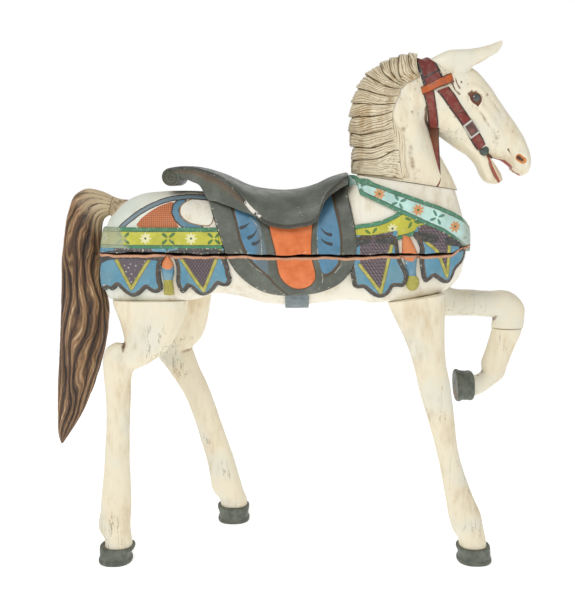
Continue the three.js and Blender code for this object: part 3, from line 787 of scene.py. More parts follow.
rumpPaint = {
    "band": [(-455, 845), (-437, 868), (-416, 886), (-391, 905), (-365, 920), (-340, 931), (-315, 938),
             (-290, 941),
             (-265, 943), (-235, 941), (-215, 938)],
    "bandHalf": 5.2,
    "orange": [(-405, 866), (-388, 888), (-366, 907), (-340, 921), (-316, 930), (-305, 929), (-311, 915),
               (-309, 899),
               (-294, 874), (-288, 864)],
    "ring": [(-286, 934), (-300, 921), (-302, 906), (-294, 890), (-279, 877), (-262, 870), (-240, 866)],
    "ringHalf": 8.0,
    "oval": [(-250, 941), (-272, 935), (-289, 922), (-291, 906), (-283, 890), (-264, 878), (-239, 873),
             (-205, 871),
             (-205, 941)],
    "blue": (92, 132, 154), "bandColour": (120, 138, 146), "line": (66, 52, 44),
             "orangeColour": (206, 122, 74),
    "ovalColour": (232, 229, 214), "rumpTint": (214, 221, 208),
}


def trunkFields():
    points = pointsOf(trunk)
    place = np.stack([alongFlank(points[:, 0], points[:, 1]), points[:, 2]], axis=1)
    for name in ("band", "ring"):
        away = rumpPaint[name + "Half"] - lineDistance(place, rumpPaint[name])
        addField(trunk, "rump" + name, away)
    for name in ("orange", "oval"):
        addField(trunk, "rump" + name, edgeDistance(place, roundedOutline(rumpPaint[name], 2)))
    addField(trunk, "along", place[:, 0])
    addField(trunk, "level", place[:, 1])
    # distance below the open seam's lower lip on the right flank: bare wood just below it, painted shade
    # inside the seam
    below = crackLevel(place[:, 0]) - crackHalf(place[:, 0]) - place[:, 1]
    below = np.where(below < -2 * crackHalf(place[:, 0]), 40 - below, below)
    addField(trunk, "seamLipAndShade", np.where(points[:, 1] < 0, below, 50))
    addGrime(trunk, 10, 1.5)


def bareWood(made, paint, field="seamLipAndShade", width=6.5):
    # the broken wood along the lower lip of the open seam, with painted shade dark inside the seam
    below = made.field(field)
    ragged = made.calc("MULTIPLY_ADD", made.noise(11, 4, 0.65, made.stretch(0.5, 1, 1)), 7.0, -3.5)
    low = made.calc("ADD", below, ragged)
    wood = made.mix(made.noise(14, 5, 0.6, made.stretch(0.2, 1, 1)), colour(150, 92, 62),
                    colour(226, 176, 140))
    lip = made.calc("MULTIPLY", made.step(low, width, width - 1.2, 0, 1), made.step(below, -14, -13, 0, 1))
    paint = made.mix(lip, paint, wood)
    # painted shade: near-black brown inside the open seam
    return made.mix(made.step(below, 0.2, -0.8), paint, colour(44, 22, 14))


def trunkFinish():
    made = Finish("trunkPaint")
    p = rumpPaint
    wobble = made.calc("MULTIPLY_ADD", made.noise(14, 3, 0.5), 3.0, -1.5)
    paint = made.mix(made.step(made.field("along"), -300, -420), colour(232, 226, 208),
                     colour(*p["rumpTint"]))
    paint = made.mix(made.step(made.noise(110, 3, 0.5), 0.45, 0.7, 0, 0.6), paint, colour(236, 232, 222))

    def over(under, fieldName, shade, edge=0.0):
        inside = made.calc("ADD", made.calc("ADD", made.field(fieldName), wobble), -edge)
        return made.mix(made.step(inside, -0.5, 0.5), under, shade)

    hatch = made.calc("MULTIPLY", made.calc("ABSOLUTE", made.calc("SINE",
            made.calc("MULTIPLY", made.field("along"), 0.62))),
                      made.calc("ABSOLUTE", made.calc("SINE",
                                                      made.calc("MULTIPLY", made.field("level"), 0.62))))
    orange = made.mix(made.step(hatch, 0.0, 0.45), colour(138, 84, 54), colour(*p["orangeColour"]))
    paint = over(paint, "rumporange", orange)
    paint = over(paint, "rumpring", colour(*p["line"]), -2.4)
    paint = over(paint, "rumpring", colour(*p["blue"]), 1.2)
    paint = over(paint, "rumpoval", colour(146, 118, 84), -1.5)
    paint = over(paint, "rumpoval", colour(*p["ovalColour"]), 1.6)
    paint = over(paint, "rumpband", colour(*p["line"]), -1.6)
    paint = over(paint, "rumpband", colour(*p["bandColour"]), 1.0)
    paint = weather(made, paint, stain=0.8, dirt=0.55)
    paint = bareWood(made, paint)
    height = made.calc("SUBTRACT", woodRelief(made), made.calc("MULTIPLY",
                                                               made.step(made.field("rumporange"), 0, 1),
                       made.step(hatch, 0.45, 0.0, 0, 0.8)))
    return made.finish(paint, roughnessOf(made), height, 0.5, 1.4)


trunkFields()
trunkPaint = trunkFinish()
settle(trunk, trunkPaint, "painted_body", "body")
print("trunk painted")


# straps, scallops and buds

strapShapes = {
    "rearStrap": {"top": [(-513, 868), (-182, 868)], "bottom": [(-513, 815), (-182, 815)], "relief": 8},
    "breastStrap": {
        "top": [(118, 990), (157, 986), (194, 977), (256, 955), (305, 938), (355, 921), (393, 905),
                (425, 890), (455, 874),
                (505, 866)],
        "bottom": [(118, 965), (157, 949), (194, 932), (257, 903), (294, 886), (332, 869), (369, 852),
                   (395, 835),
                   (420, 818), (450, 805), (505, 800)], "relief": 10},
    "lowerStrap": {
        "top": [(140, 872), (154, 876), (181, 879), (211, 886), (235, 896), (262, 912), (300, 930)],
        "bottom": [(140, 814), (163, 818), (195, 825), (232, 833), (269, 841), (305, 853), (336, 868)],
                   "relief": 6},
}


def makeStrap(name, side):
    shape = strapShapes[name]
    top, bottom = np.array(shape["top"], float), np.array(shape["bottom"], float)
    outline = np.vstack([top, bottom[::-1]])
    piece, place = drapedPiece(name + ("Right" if side < 0 else "Left"), outline, shape["relief"], side,
                               spacing=2.6 if side < 0 else 4.0,
                               profile=((0, 0.5), (0.8, 0.82), (2.2, 1.0), (9.0, 1.0), (9.9, 0.84),
                                        (10.8, 1.0)),
                               cut=side < 0)
    low = smoothThrough(bottom[:, 0], bottom[:, 1:], place[:, 0])[:, 0]
    high = smoothThrough(top[:, 0], top[:, 1:], place[:, 0])[:, 0]
    middle = (low + high) / 2
    line = np.stack([np.linspace(top[0, 0], top[-1, 0], 200)] * 2, axis=1)
    line[:, 1] = (smoothThrough(bottom[:, 0], bottom[:, 1:], line[:, 0])[:, 0]
                  + smoothThrough(top[:, 0], top[:, 1:], line[:, 0])[:, 0]) / 2
    run = np.concatenate([[0], np.cumsum(np.linalg.norm(np.diff(line, axis=0), axis=1))])
    slope = np.interp(place[:, 0], line[:, 0], np.gradient(line[:, 1], line[:, 0]))
    across = (place[:, 1] - middle) / np.sqrt(1 + slope ** 2)
    halfWidth = (high - low) / 2 / np.sqrt(1 + slope ** 2)
    along = np.interp(place[:, 0] + slope * across / np.sqrt(1 + slope ** 2), line[:, 0], run)
    addField(piece, "along", along)
    addField(piece, "across", across)
    addField(piece, "toEdge", halfWidth - np.abs(across))
    addField(piece, "start", place[:, 0])
    addSeamLipAndShade(piece, place, side)
    addGrime(piece, 8, 0.9)
    return piece


def addSeamLipAndShade(piece, place, side):
    # distance below the open seam's lower lip: bare wood just below it, painted shade inside the seam
    below = crackLevel(place[:, 0]) - crackHalf(place[:, 0]) - place[:, 1]
    above = place[:, 1] - crackLevel(place[:, 0]) - crackHalf(place[:, 0])
    values = np.where(place[:, 1] < crackLevel(place[:, 0]), below, 40 + above)
    wall = np.zeros(len(place), dtype=np.float32)
    piece.data.attributes["wall"].data.foreach_get("value", wall)
    nearCrack = np.minimum(np.abs(below), np.abs(above)) < 1.5
    # walls that drop into the open seam take its painted shade
    values = np.where((wall > 0.5) & nearCrack, -2.0, values)
    addField(piece, "seamLipAndShade", values if side < 0 else values * 0 + 50)


def flowerOn(made, along, across, first, period, radius, petals):
    # petals round the nearest of a row of flowers, and how far each place is from its middle
    turn = made.calc("MULTIPLY", made.calc("SUBTRACT", made.calc("FRACT", made.calc("ADD",
                     made.calc("DIVIDE", made.calc("SUBTRACT", along, first), period), 0.5)), 0.5), period)
    angle = made.calc("ARCTAN2", across, turn)
    reach = made.calc("SQRT", made.calc("ADD", made.calc("MULTIPLY", turn, turn),
                                        made.calc("MULTIPLY", across, across)))
    edge = made.calc("MULTIPLY_ADD", made.calc("COSINE", made.calc("MULTIPLY", angle, petals)),
                     radius * 0.2, radius * 0.8)
    edge = made.calc("ADD", edge, made.calc("MULTIPLY_ADD", made.noise(6, 3, 0.6), radius * 0.5,
                                            -radius * 0.25))
    return made.step(made.calc("SUBTRACT", reach, edge), 0.7, -0.7), reach


def leavesOn(made, along, across, first, period, radius):
    # four leaves in a cross
    turn = made.calc("MULTIPLY", made.calc("SUBTRACT", made.calc("FRACT", made.calc("ADD",
                     made.calc("DIVIDE", made.calc("SUBTRACT", along, first), period), 0.5)), 0.5), period)
    angle = made.calc("ARCTAN2", made.calc("MULTIPLY", across, 1.15), turn)
    reach = made.calc("SQRT", made.calc("ADD", made.calc("MULTIPLY", turn, turn),
                                        made.calc("MULTIPLY", across, across)))
    leaf = made.calc("MAXIMUM", made.calc("COSINE", made.calc("MULTIPLY_ADD", angle, 4.0, math.pi)), 0.0)
    edge = made.calc("MULTIPLY", made.calc("POWER", leaf, 0.55), radius)
    edge = made.calc("ADD", edge, made.calc("MULTIPLY_ADD", made.noise(7, 2, 0.5), 7.0, -3.5))
    inside = made.step(made.calc("SUBTRACT", reach, edge), 0.8, -0.8)
    return made.calc("MULTIPLY", inside, made.step(reach, 3.2, 4.6))


strapPaints = {
    "rearStrap": {"ground": (172, 170, 58), "border": (62, 118, 84), "flower": (226, 222, 178),
                  "heart": (52, 84, 62),
                  "leaf": (56, 104, 64), "first": 140, "period": 113, "radius": 14.5, "petals": 8,
                  "leafRadius": 21},
    "breastStrap": {"ground": (172, 204, 196), "border": (72, 122, 98), "flower": (208, 136, 66),
                    "heart": (70, 96, 60),
                    "leaf": (66, 118, 96), "first": 90, "period": 104, "radius": 15, "petals": 8,
                    "leafRadius": 20},
    "lowerStrap": {"ground": (176, 172, 58), "border": (66, 122, 92), "flower": (224, 218, 168),
                   "heart": (52, 84, 62),
                   "leaf": (70, 112, 60), "first": 100, "period": 106, "radius": 13, "petals": 8,
                   "leafRadius": 20},
}


def strapFinish(name):
    made = Finish(name + "Paint")
    p = strapPaints[name]
    along, across, toEdge = made.field("along"), made.field("across"), made.field("toEdge")
    wobble = made.calc("MULTIPLY_ADD", made.noise(16, 3, 0.5), 3.0, -1.5)
    ground = made.mix(made.step(made.noise(38, 4, 0.6), 0.35, 0.7, 0, 0.5), colour(*p["ground"]),
                      colour(*[min(255, c * 1.18 + 12) for c in p["ground"]]))
    paint = ground
    leaves = leavesOn(made, along, across, p["first"] + p["period"] / 2, p["period"], p["leafRadius"])
    paint = made.mix(made.calc("MULTIPLY", leaves, 0.9), paint, colour(*p["leaf"]))
    petals, reach = flowerOn(made, along, across, p["first"], p["period"], p["radius"], p["petals"])
    paint = made.mix(made.calc("MULTIPLY", petals, 0.9), paint, colour(*p["flower"]))
    paint = made.mix(made.step(reach, 3.4, 2.2), paint, colour(*p["heart"]))
    border = made.mix(made.step(made.noise(20, 4, 0.6), 0.35, 0.7, 0, 0.45), colour(*p["border"]),
                      colour(*[c * 1.3 for c in p["border"]]))
    edge = made.calc("ADD", toEdge, wobble)
    paint = made.mix(made.step(edge, 11.2, 10.2), paint, colour(60, 66, 48))
    paint = made.mix(made.step(edge, 10.2, 9.2), paint, border)
    if name == "rearStrap":
        worn = made.calc("ADD", made.calc("MULTIPLY_ADD", across, 0.45, 0.0), made.field("start"))
        worn = made.calc("ADD", worn, made.calc("MULTIPLY_ADD", made.noise(30, 4, 0.6), 50, -25))
        paint = made.mix(made.step(worn, -420, -438, 0, 0.75), paint, colour(164, 170, 146))
    if name == "breastStrap":
        worn = made.calc("ADD", made.field("start"), made.calc("MULTIPLY_ADD", made.noise(22, 5, 0.65), 90,
                                                               -45))
        paint = made.mix(made.step(worn, 402, 430, 0, 0.7), paint, colour(178, 188, 174))
    rub = made.step(made.noise(9, 5, 0.7), 0.60, 0.66)
    paint = made.mix(made.calc("MULTIPLY", rub, 0.3), paint, colour(212, 210, 190))
    paint = weather(made, paint, stain=0.75, chips=0.55, dirt=0.3)
    paint = bareWood(made, paint)
    return made.finish(paint, roughnessOf(made, 0.5), woodRelief(made), 0.45, 1.2)


scallopShapes = {
    "rearScallopFirst": {
        "rim": [(-510, 803), (-510, 716, 1), (-492, 706), (-478, 714), (-471, 712), (-461, 708),
                (-446, 721, 1), (-439, 713),
                (-429, 704), (-419, 697), (-409, 693), (-397, 696), (-387, 703), (-374, 716, 1),
                (-364, 708), (-354, 704),
                (-344, 705), (-335, 711), (-331, 721), (-336, 736), (-338, 759), (-334, 783), (-320, 800)],
        "top": [(-320, 818), (-510, 818)], "vee": [(-453, 801), (-411, 716), (-357, 801)], "hatch": "dots"},
    "rearScallopSecond": {
        "rim": [(-317, 802), (-307, 796), (-300, 781), (-297, 759), (-300, 736), (-296, 719), (-289, 706),
                (-282, 703),
                (-274, 709), (-267, 719, 1), (-259, 713), (-250, 701), (-240, 694), (-230, 693),
                (-217, 699), (-205, 711),
                (-195, 724, 1), (-187, 719), (-172, 719), (-165, 726), (-160, 739), (-165, 751),
                (-167, 769), (-173, 789),
                (-178, 804)],
        "top": [(-178, 818), (-317, 818)], "vee": [(-293, 806), (-232, 709), (-189, 812)],
                          "hatch": "diamonds"},
    "frontScallopFirst": {
        "rim": [(128, 838), (132, 770), (138, 739), (141, 721), (151, 714), (168, 716, 1), (176, 710),
                (188, 698), (203, 691),
                (216, 690), (228, 696), (236, 705), (243, 719, 1), (250, 720), (268, 718), (275, 728),
                (280, 744),
                (274, 764), (264, 781), (256, 801), (253, 823), (250, 840)],
        "top": [(250, 862), (190, 850), (128, 850)], "vee": [(157, 776), (211, 706), (238, 838)],
                          "hatch": "lines"},
    "frontScallopSecond": {
        "rim": [(286, 850), (297, 838), (305, 824), (308, 812), (306, 792), (310, 762), (315, 739),
                (323, 729), (330, 731),
                (345, 743, 1), (355, 736), (371, 726), (383, 724), (393, 729), (400, 744), (405, 762),
                (416, 770),
                (428, 782), (434, 806), (436, 826)],
        "top": [(400, 850), (340, 880), (300, 872)], "vee": [(301, 850), (351, 809), (379, 745),
                                                             (382, 850)],
        "hatch": "lines"},
}
scallopColours = {"blue": (84, 138, 162), "outline": (58, 58, 56), "vee": (158, 154, 66),
                  "hatched": (104, 90, 96),
                  "hatchLine": (150, 140, 146), "hatchDark": (64, 52, 54)}


def makeScallop(name):
    shape = scallopShapes[name]
    outline = roundedOutline(shape["rim"] + [(x, z, 1) for x, z in shape["top"]], 2)
    rim = roundedOutline(shape["rim"], 2)
    closing = np.linalg.norm(np.diff(rim, axis=0), axis=1)
    rim = rim[:-1] if closing[-1] > 60 else rim
    gap = int(np.argmax(np.linalg.norm(rim - np.roll(rim, 1, axis=0), axis=1)))
    rim = np.roll(rim, -gap, axis=0)
    vee = shape["vee"]
    piece, place = drapedPiece(name, outline, 11, -1, spacing=2.6,
                               profile=((0, 0.35), (0.8, 0.66), (2.2, 0.78), (9.6, 0.8), (11.4, 1.0)),
                               carved=[(vee, 2.0, -1.3)])
    addField(piece, "toRim", lineDistance(place, rim))
    addField(piece, "toVee", lineDistance(place, vee))
    addField(piece, "inVee", edgeDistance(place, np.array(vee + [(vee[-1][0], 900), (vee[0][0], 900)],
                                                          float)))
    addField(piece, "along", place[:, 0])
    addField(piece, "level", place[:, 1])
    addSeamLipAndShade(piece, place, -1)
    addGrime(piece, 8, 0.9)
    return piece


def scallopFinish(kind):
    made = Finish("scallopPaint." + kind)
    c = scallopColours
    wobble = made.calc("MULTIPLY_ADD", made.noise(14, 3, 0.5), 2.6, -1.3)
    blue = made.mix(made.step(made.noise(34, 4, 0.6), 0.35, 0.7), colour(*c["blue"]), colour(104, 150, 168))
    blue = made.mix(made.step(made.noise(60, 3, 0.5), 0.5, 0.7, 0, 0.5), blue, colour(112, 142, 148))
    along, level = made.field("along"), made.field("level")
    first = made.calc("ADD", made.calc("MULTIPLY", along, 0.9), made.calc("MULTIPLY", level, 0.6))
    second = made.calc("SUBTRACT", made.calc("MULTIPLY", along, 0.9), made.calc("MULTIPLY", level, 0.6))
    if kind == "lines":
        second = made.calc("MULTIPLY", level, 0.8)
    ridges = made.calc("MAXIMUM", made.calc("ABSOLUTE", made.calc("SINE",
                                                                  made.calc("MULTIPLY", first, 0.46))),
                       made.calc("ABSOLUTE", made.calc("SINE", made.calc("MULTIPLY", second, 0.46))))
    hatched = made.mix(made.step(ridges, 0.86, 0.99), colour(*c["hatched"]), colour(*c["hatchDark"]))
    if kind == "dots":
        dots = made.add("ShaderNodeTexVoronoi", {"Vector": made.place, "Scale": 115.0}).outputs["Distance"]
        hatched = made.mix(made.step(dots, 0.30, 0.22), colour(96, 86, 92), colour(176, 170, 170))
    elif kind == "lines":
        hatched = made.mix(made.step(made.calc("ABSOLUTE",
                made.calc("SINE", made.calc("MULTIPLY", first, 0.40))), 0.22, 0.06),
                           hatched, colour(*c["hatchLine"]))
    paint = made.mix(made.step(made.calc("ADD", made.field("inVee"), wobble), -0.5, 0.5), blue, hatched)
    vee = made.calc("SUBTRACT", 4.6, made.calc("ADD", made.field("toVee"), wobble))
    paint = made.mix(made.step(vee, -0.6, 0.4), paint, colour(88, 84, 46))
    veeColour = made.mix(made.step(made.noise(12, 3, 0.5), 0.35, 0.65), colour(*c["vee"]),
                         colour(186, 178, 92))
    paint = made.mix(made.step(made.calc("SUBTRACT", vee, 1.0), -0.5, 0.5), paint, veeColour)
    rim = made.calc("SUBTRACT", 11.2, made.calc("ADD", made.field("toRim"), wobble))
    black = made.mix(made.step(made.noise(9, 4, 0.65), 0.4, 0.7), colour(*c["outline"]), colour(84, 84, 80))
    paint = made.mix(made.step(rim, -0.6, 0.6), paint, black)
    rub = made.step(made.noise(8, 5, 0.7), 0.63, 0.67)
    paint = made.mix(made.calc("MULTIPLY", rub, 0.4), paint, colour(190, 196, 190))
    paint = weather(made, paint, stain=0.6, chips=0.6, dirt=0.2)
    paint = bareWood(made, paint)
    height = made.calc("SUBTRACT", woodRelief(made), made.calc("MULTIPLY",
                                                               made.step(made.field("inVee"), 0, 1),
                       made.step(ridges, 0.8, 1.0, 0, 0.8)))
    return made.finish(paint, roughnessOf(made, 0.48), height, 0.5, 1.3)


budShapes = {
    "rearBud": {"outline": [(-319, 803, 1), (-305, 781), (-304, 770), (-303, 754), (-309, 739), (-306, 719),
                            (-306, 700, 1),
                            (-319, 698), (-332, 701, 1), (-329, 722), (-331, 739), (-335, 756), (-334, 774),
                            (-333, 784)],
                "orange": [(-319, 806), (-303, 780), (-304, 773), (-316, 763), (-335, 772), (-334, 784)],
                "green": 739},
    "frontBud": {"outline": [(262, 850, 1), (280, 848), (289, 830), (300, 809), (300, 785), (298, 762),
                             (299, 748),
                             (308, 738), (309, 724), (303, 712), (291, 708), (279, 713), (274, 726),
                             (277, 740), (281, 748),
                             (274, 764), (268, 785), (262, 809), (262, 830)],
                 "orange": [(262, 852), (282, 848), (291, 830), (302, 809), (296, 791), (286, 783),
                            (262, 790), (258, 820)],
                 "green": 748},
}


def makeBud(name):
    shape = budShapes[name]
    outline = roundedOutline(shape["outline"], 2)
    grooves = [([(x, shape["green"] - 6), (x + 1, shape["green"] - 40)], 1.6, 1.8) for x in
               (np.mean([p[0] for p in shape["outline"]]) + step for step in (-8, 0, 8))]
    piece, place = drapedPiece(name, outline, 14, -1, spacing=2.2,
                               profile=((0, 0.3), (1.5, 0.62), (4, 0.82), (8, 0.96), (13, 1.0)),
                               carved=grooves if name == "rearBud" else [])
    addField(piece, "orange", edgeDistance(place, roundedOutline(shape["orange"], 1)))
    addField(piece, "green", shape["green"] - place[:, 1])
    addSeamLipAndShade(piece, place, -1)
    addGrime(piece, 8, 0.9)
    return piece


def budFinish():
    made = Finish("budPaint")
    wobble = made.calc("MULTIPLY_ADD", made.noise(12, 3, 0.5), 4.0, -2.0)
    blue = made.mix(made.step(made.noise(22, 4, 0.6), 0.35, 0.7), colour(88, 134, 158),
                    colour(124, 158, 170))
    paint = made.mix(made.step(made.calc("ADD", made.field("green"), wobble), -0.7, 0.7), blue,
                     made.mix(made.noise(15, 4, 0.6), colour(140, 132, 40), colour(190, 184, 96)))
    paint = made.mix(made.step(made.calc("ADD", made.field("orange"), wobble), -0.7, 0.7), paint,
                     made.mix(made.noise(20, 4, 0.6), colour(196, 108, 56), colour(226, 146, 96)))
    paint = weather(made, paint, stain=0.75, chips=0.4, dirt=0.3)
    paint = bareWood(made, paint)
    return made.finish(paint, roughnessOf(made, 0.48), woodRelief(made), 0.45, 1.2)


hemShapes = {
    "rearHemLeft": [(-500, 812), (-500, 720), (-168, 720), (-158, 740), (-168, 812)],
    "frontHemLeft": [(128, 830), (134, 770), (142, 719), (250, 716), (394, 726), (412, 758), (434, 790),
                     (436, 826), (360, 862)],
}


def makeHem(name):
    # the left flank's plain hem: one dark-edged blue band, as on the side that stood to the middle
    outline = roundedOutline([(x, z, 1) if k in (0, 4) else (x, z) for k,
                              (x, z) in enumerate(hemShapes[name])], 1)
    piece, place = drapedPiece(name, outline, 11, 1, spacing=4.5,
                               profile=((0, 0.35), (0.9, 0.66), (2.4, 0.78), (10, 0.8), (12, 1.0)),
                               cut=False)
    addField(piece, "toRim", np.maximum(edgeDistance(place, outline), 0))
    addField(piece, "toVee", np.full(len(place), 60.0))
    addField(piece, "inVee", np.full(len(place), -60.0))
    addField(piece, "along", place[:, 0])
    addField(piece, "level", place[:, 1])
    addSeamLipAndShade(piece, place, 1)
    addGrime(piece, 8, 0.9)
    return piece


scallopPaints = {kind: scallopFinish(kind) for kind in ("dots", "diamonds", "lines")}
for strap in strapShapes:
    strapPaint = strapFinish(strap)
    for side in (-1, 1):
        settle(makeStrap(strap, side), strapPaint, "painted_body")
for scallop, shape in scallopShapes.items():
    settle(makeScallop(scallop), scallopPaints[shape["hatch"]], "painted_body")
budPaint = budFinish()
for bud in budShapes:
    settle(makeBud(bud), budPaint, "painted_body")
for hem in hemShapes:
    settle(makeHem(hem), scallopPaints["diamonds"], "painted_body")
print("straps, scallops and buds ready")


# saddle: skirt, seat with its cantle, scroll and girth

skirtShape = {
    "outline": [(-226, 948, 1), (-224, 943), (-212, 911), (-200, 875), (-188, 842), (-179, 813),
                (-169, 789), (-159, 771),
                (-145, 751), (-127, 733), (-103, 715), (-78, 703), (-53, 697), (-28, 695), (-3, 695),
                (29, 698), (59, 703),
                (96, 718), (121, 738), (138, 763), (147, 784), (152, 813), (149, 838), (144, 875),
                (136, 912),
                (128, 948), (122, 976, 1), (90, 955), (0, 930), (-120, 930), (-200, 944)],
    "grooveLeft": [(-170, 945), (-160, 919), (-148, 883), (-139, 838), (-124, 806), (-110, 784), (-90, 764),
                   (-70, 748),
                   (-53, 727), (-33, 709), (-21, 699)],
    "grooveRight": [(80, 975), (84, 958), (94, 929), (103, 895), (110, 851), (112, 809), (106, 779),
                    (89, 757), (66, 747)],
    "blueLeft": [(-155, 925, 1), (-126, 912), (-99, 893), (-88, 870), (-82, 843), (-75, 814), (-72, 794),
                 (-68, 754, 1),
                 (-85, 764), (-108, 787), (-122, 809), (-133, 833), (-142, 868), (-150, 897)],
    "blueRight": [(60, 970), (80, 962), (87, 936), (95, 907), (102, 878), (107, 851), (108, 814),
                  (103, 784), (90, 764),
                  (76, 754), (63, 757), (56, 784), (53, 814), (50, 851), (53, 878), (59, 900), (56, 940)],
    "orange": [(-72, 890), (-40, 890), (9, 890), (42, 892), (39, 863), (36, 826), (38, 794), (46, 764),
               (49, 744),
               (41, 729), (29, 719), (9, 714), (-11, 717), (-31, 732), (-43, 749), (-48, 777), (-53, 814),
               (-60, 838)],
    "strokes": [  # brush strokes: line, half width at its start and at its end
        ([(-112, 881), (-121, 876), (-130, 870), (-136, 868)], 0.8, 5.0),
        ([(-96, 869), (-101, 857), (-109, 848), (-117, 844)], 0.8, 5.0),
        ([(-86, 844), (-92, 836), (-100, 830), (-106, 829)], 1.6, 4.8),
        ([(57, 872), (64, 862), (74, 854), (84, 851)], 0.8, 4.8),
        ([(57, 848), (64, 838), (74, 831), (85, 828)], 0.8, 4.8)],
    "scratches": [[(55, 895), (52, 870), (51, 838), (53, 794), (58, 769), (66, 744), (64, 729), (55, 714)],
                  [(-114, 893), (-99, 876), (-90, 858), (-86, 826), (-85, 800)],
                  [(-140, 815), (-124, 790), (-102, 768), (-75, 752)], [(-58, 722), (-48, 712), (-38, 706)],
                  [(96, 757), (110, 775), (116, 800)]],
    "relief": 13,
}
saddleColours = {"hide": (82, 86, 76), "hideLight": (104, 108, 98), "blue": (86, 132, 162),
                 "orange": (222, 122, 66),
                 "line": (58, 56, 50), "worn": (152, 154, 144), "stroke": (58, 62, 66),
                 "groundCoat": (228, 224, 214)}


def makeSkirt(side):
    shape = skirtShape
    right = side < 0
    grooves = [(shape["grooveLeft"], 2.6, 2.2), (shape["grooveRight"], 2.6, 2.2)]
    lines = {name: roundedOutline(shape[name], 2) for name in ("blueLeft", "blueRight", "orange")}
    rimLine = np.vstack([lines["orange"], lines["orange"][:1]])
    grooves.append((rimLine, 2.0, 1.4))
    piece, place = drapedPiece("skirtRight" if right else "skirtLeft", roundedOutline(shape["outline"], 2),
                               shape["relief"],
                               side, spacing=2.4 if right else 4.2, carved=grooves, cut=right,
                               profile=((0, 0.4), (1.0, 0.72), (3.0, 0.93), (6.0, 1.0)))
    for name, line in lines.items():
        addField(piece, name, edgeDistance(place, line))
    stroke = np.full(len(place), -20.0)
    for line, start, end in shape["strokes"]:
        line = evenly(np.array(line, float), 14, 2)
        for k, spot in enumerate(line):
            half = start + (end - start) * (k / 13) ** 1.3
            stroke = np.maximum(stroke, half - np.linalg.norm(place - spot, axis=1))
    addField(piece, "stroke", stroke)
    addField(piece, "scratch", np.min([lineDistance(place, line) for line in shape["scratches"]], axis=0))
    addField(piece, "groove", np.minimum(lineDistance(place, shape["grooveLeft"]),
                                         lineDistance(place, shape["grooveRight"])))
    addField(piece, "toRim", np.maximum(edgeDistance(place, roundedOutline(shape["outline"], 2)), 0))
    addField(piece, "along", place[:, 0])
    addSeamLipAndShade(piece, place, side)
    addGrime(piece, 10, 1.0)
    return piece


def hideColour(made):
    # worn dark leather, painted: uneven, rubbed lighter in patches
    c = saddleColours
    drift = made.noise(70, 5, 0.6)
    paint = made.mix(made.step(drift, 0.38, 0.66), colour(*c["hide"]), colour(*c["hideLight"]))
    fine = made.noise(8, 5, 0.65)
    paint = made.mix(made.step(fine, 0.3, 0.7, 0, 0.35), paint, colour(64, 66, 56))
    rub = made.step(made.noise(10, 6, 0.72), 0.62, 0.70)
    return made.mix(made.calc("MULTIPLY", rub, 0.35), paint, colour(*c["worn"]))


def skirtFinish():
    made = Finish("skirtPaint")
    c = saddleColours
    wobble = made.calc("MULTIPLY_ADD", made.noise(15, 3, 0.5), 2.4, -1.2)

    def inside(name, edge=0.0):
        return made.step(made.calc("ADD", made.calc("ADD", made.field(name), wobble), -edge), -0.5, 0.5)

    paint = hideColour(made)
    blue = made.mix(made.step(made.noise(36, 4, 0.6), 0.35, 0.7), colour(*c["blue"]), colour(72, 118, 144))
    slate = made.mix(made.step(made.calc("ADD", made.field("along"),
                                         made.calc("MULTIPLY", made.noise(30, 4, 0.6), 30)), -92, -74),
                     blue, colour(96, 112, 118))
    paint = made.mix(inside("blueLeft"), paint, slate)
    paint = made.mix(inside("blueRight"), paint, blue)
    orange = made.mix(made.step(made.noise(30, 5, 0.65), 0.36, 0.68), colour(*c["orange"]),
                      colour(206, 102, 44))
    orange = made.mix(made.step(made.noise(7, 4, 0.7), 0.62, 0.70, 0, 0.4), orange, colour(176, 90, 48))
    paint = made.mix(inside("orange", -1.6), paint, colour(70, 56, 40))
    paint = made.mix(inside("orange", 1.2), paint, orange)
    paint = made.mix(made.step(made.calc("ADD", made.field("stroke"), made.calc("MULTIPLY", wobble, 0.3)),
                               -0.5, 0.5), paint,
                     colour(*c["stroke"]))
    line = made.step(made.calc("ADD", made.field("groove"), made.calc("MULTIPLY", wobble, 0.5)), 3.2, 1.8)
    paint = made.mix(made.calc("MULTIPLY", line, 0.85), paint, colour(*c["line"]))
    gaps = made.step(made.noise(17, 4, 0.65), 0.42, 0.56)
    scratch = made.calc("MULTIPLY", made.step(made.calc("ADD", made.field("scratch"),
            made.calc("MULTIPLY", wobble, 0.7)), 1.7, 0.7), gaps)
    paint = made.mix(made.calc("MULTIPLY", scratch, 0.75), paint, colour(186, 184, 170))
    edge = made.step(made.calc("ADD", made.field("toRim"), wobble), 3.4, 1.8)
    paint = made.mix(made.calc("MULTIPLY", edge, 0.7), paint, colour(40, 36, 30))
    paint = weather(made, paint, stain=0.45, chips=0.35, dirt=0.15)
    paint = bareWood(made, paint)
    return made.finish(paint, roughnessOf(made, 0.5), woodRelief(made), 0.45, 1.2)


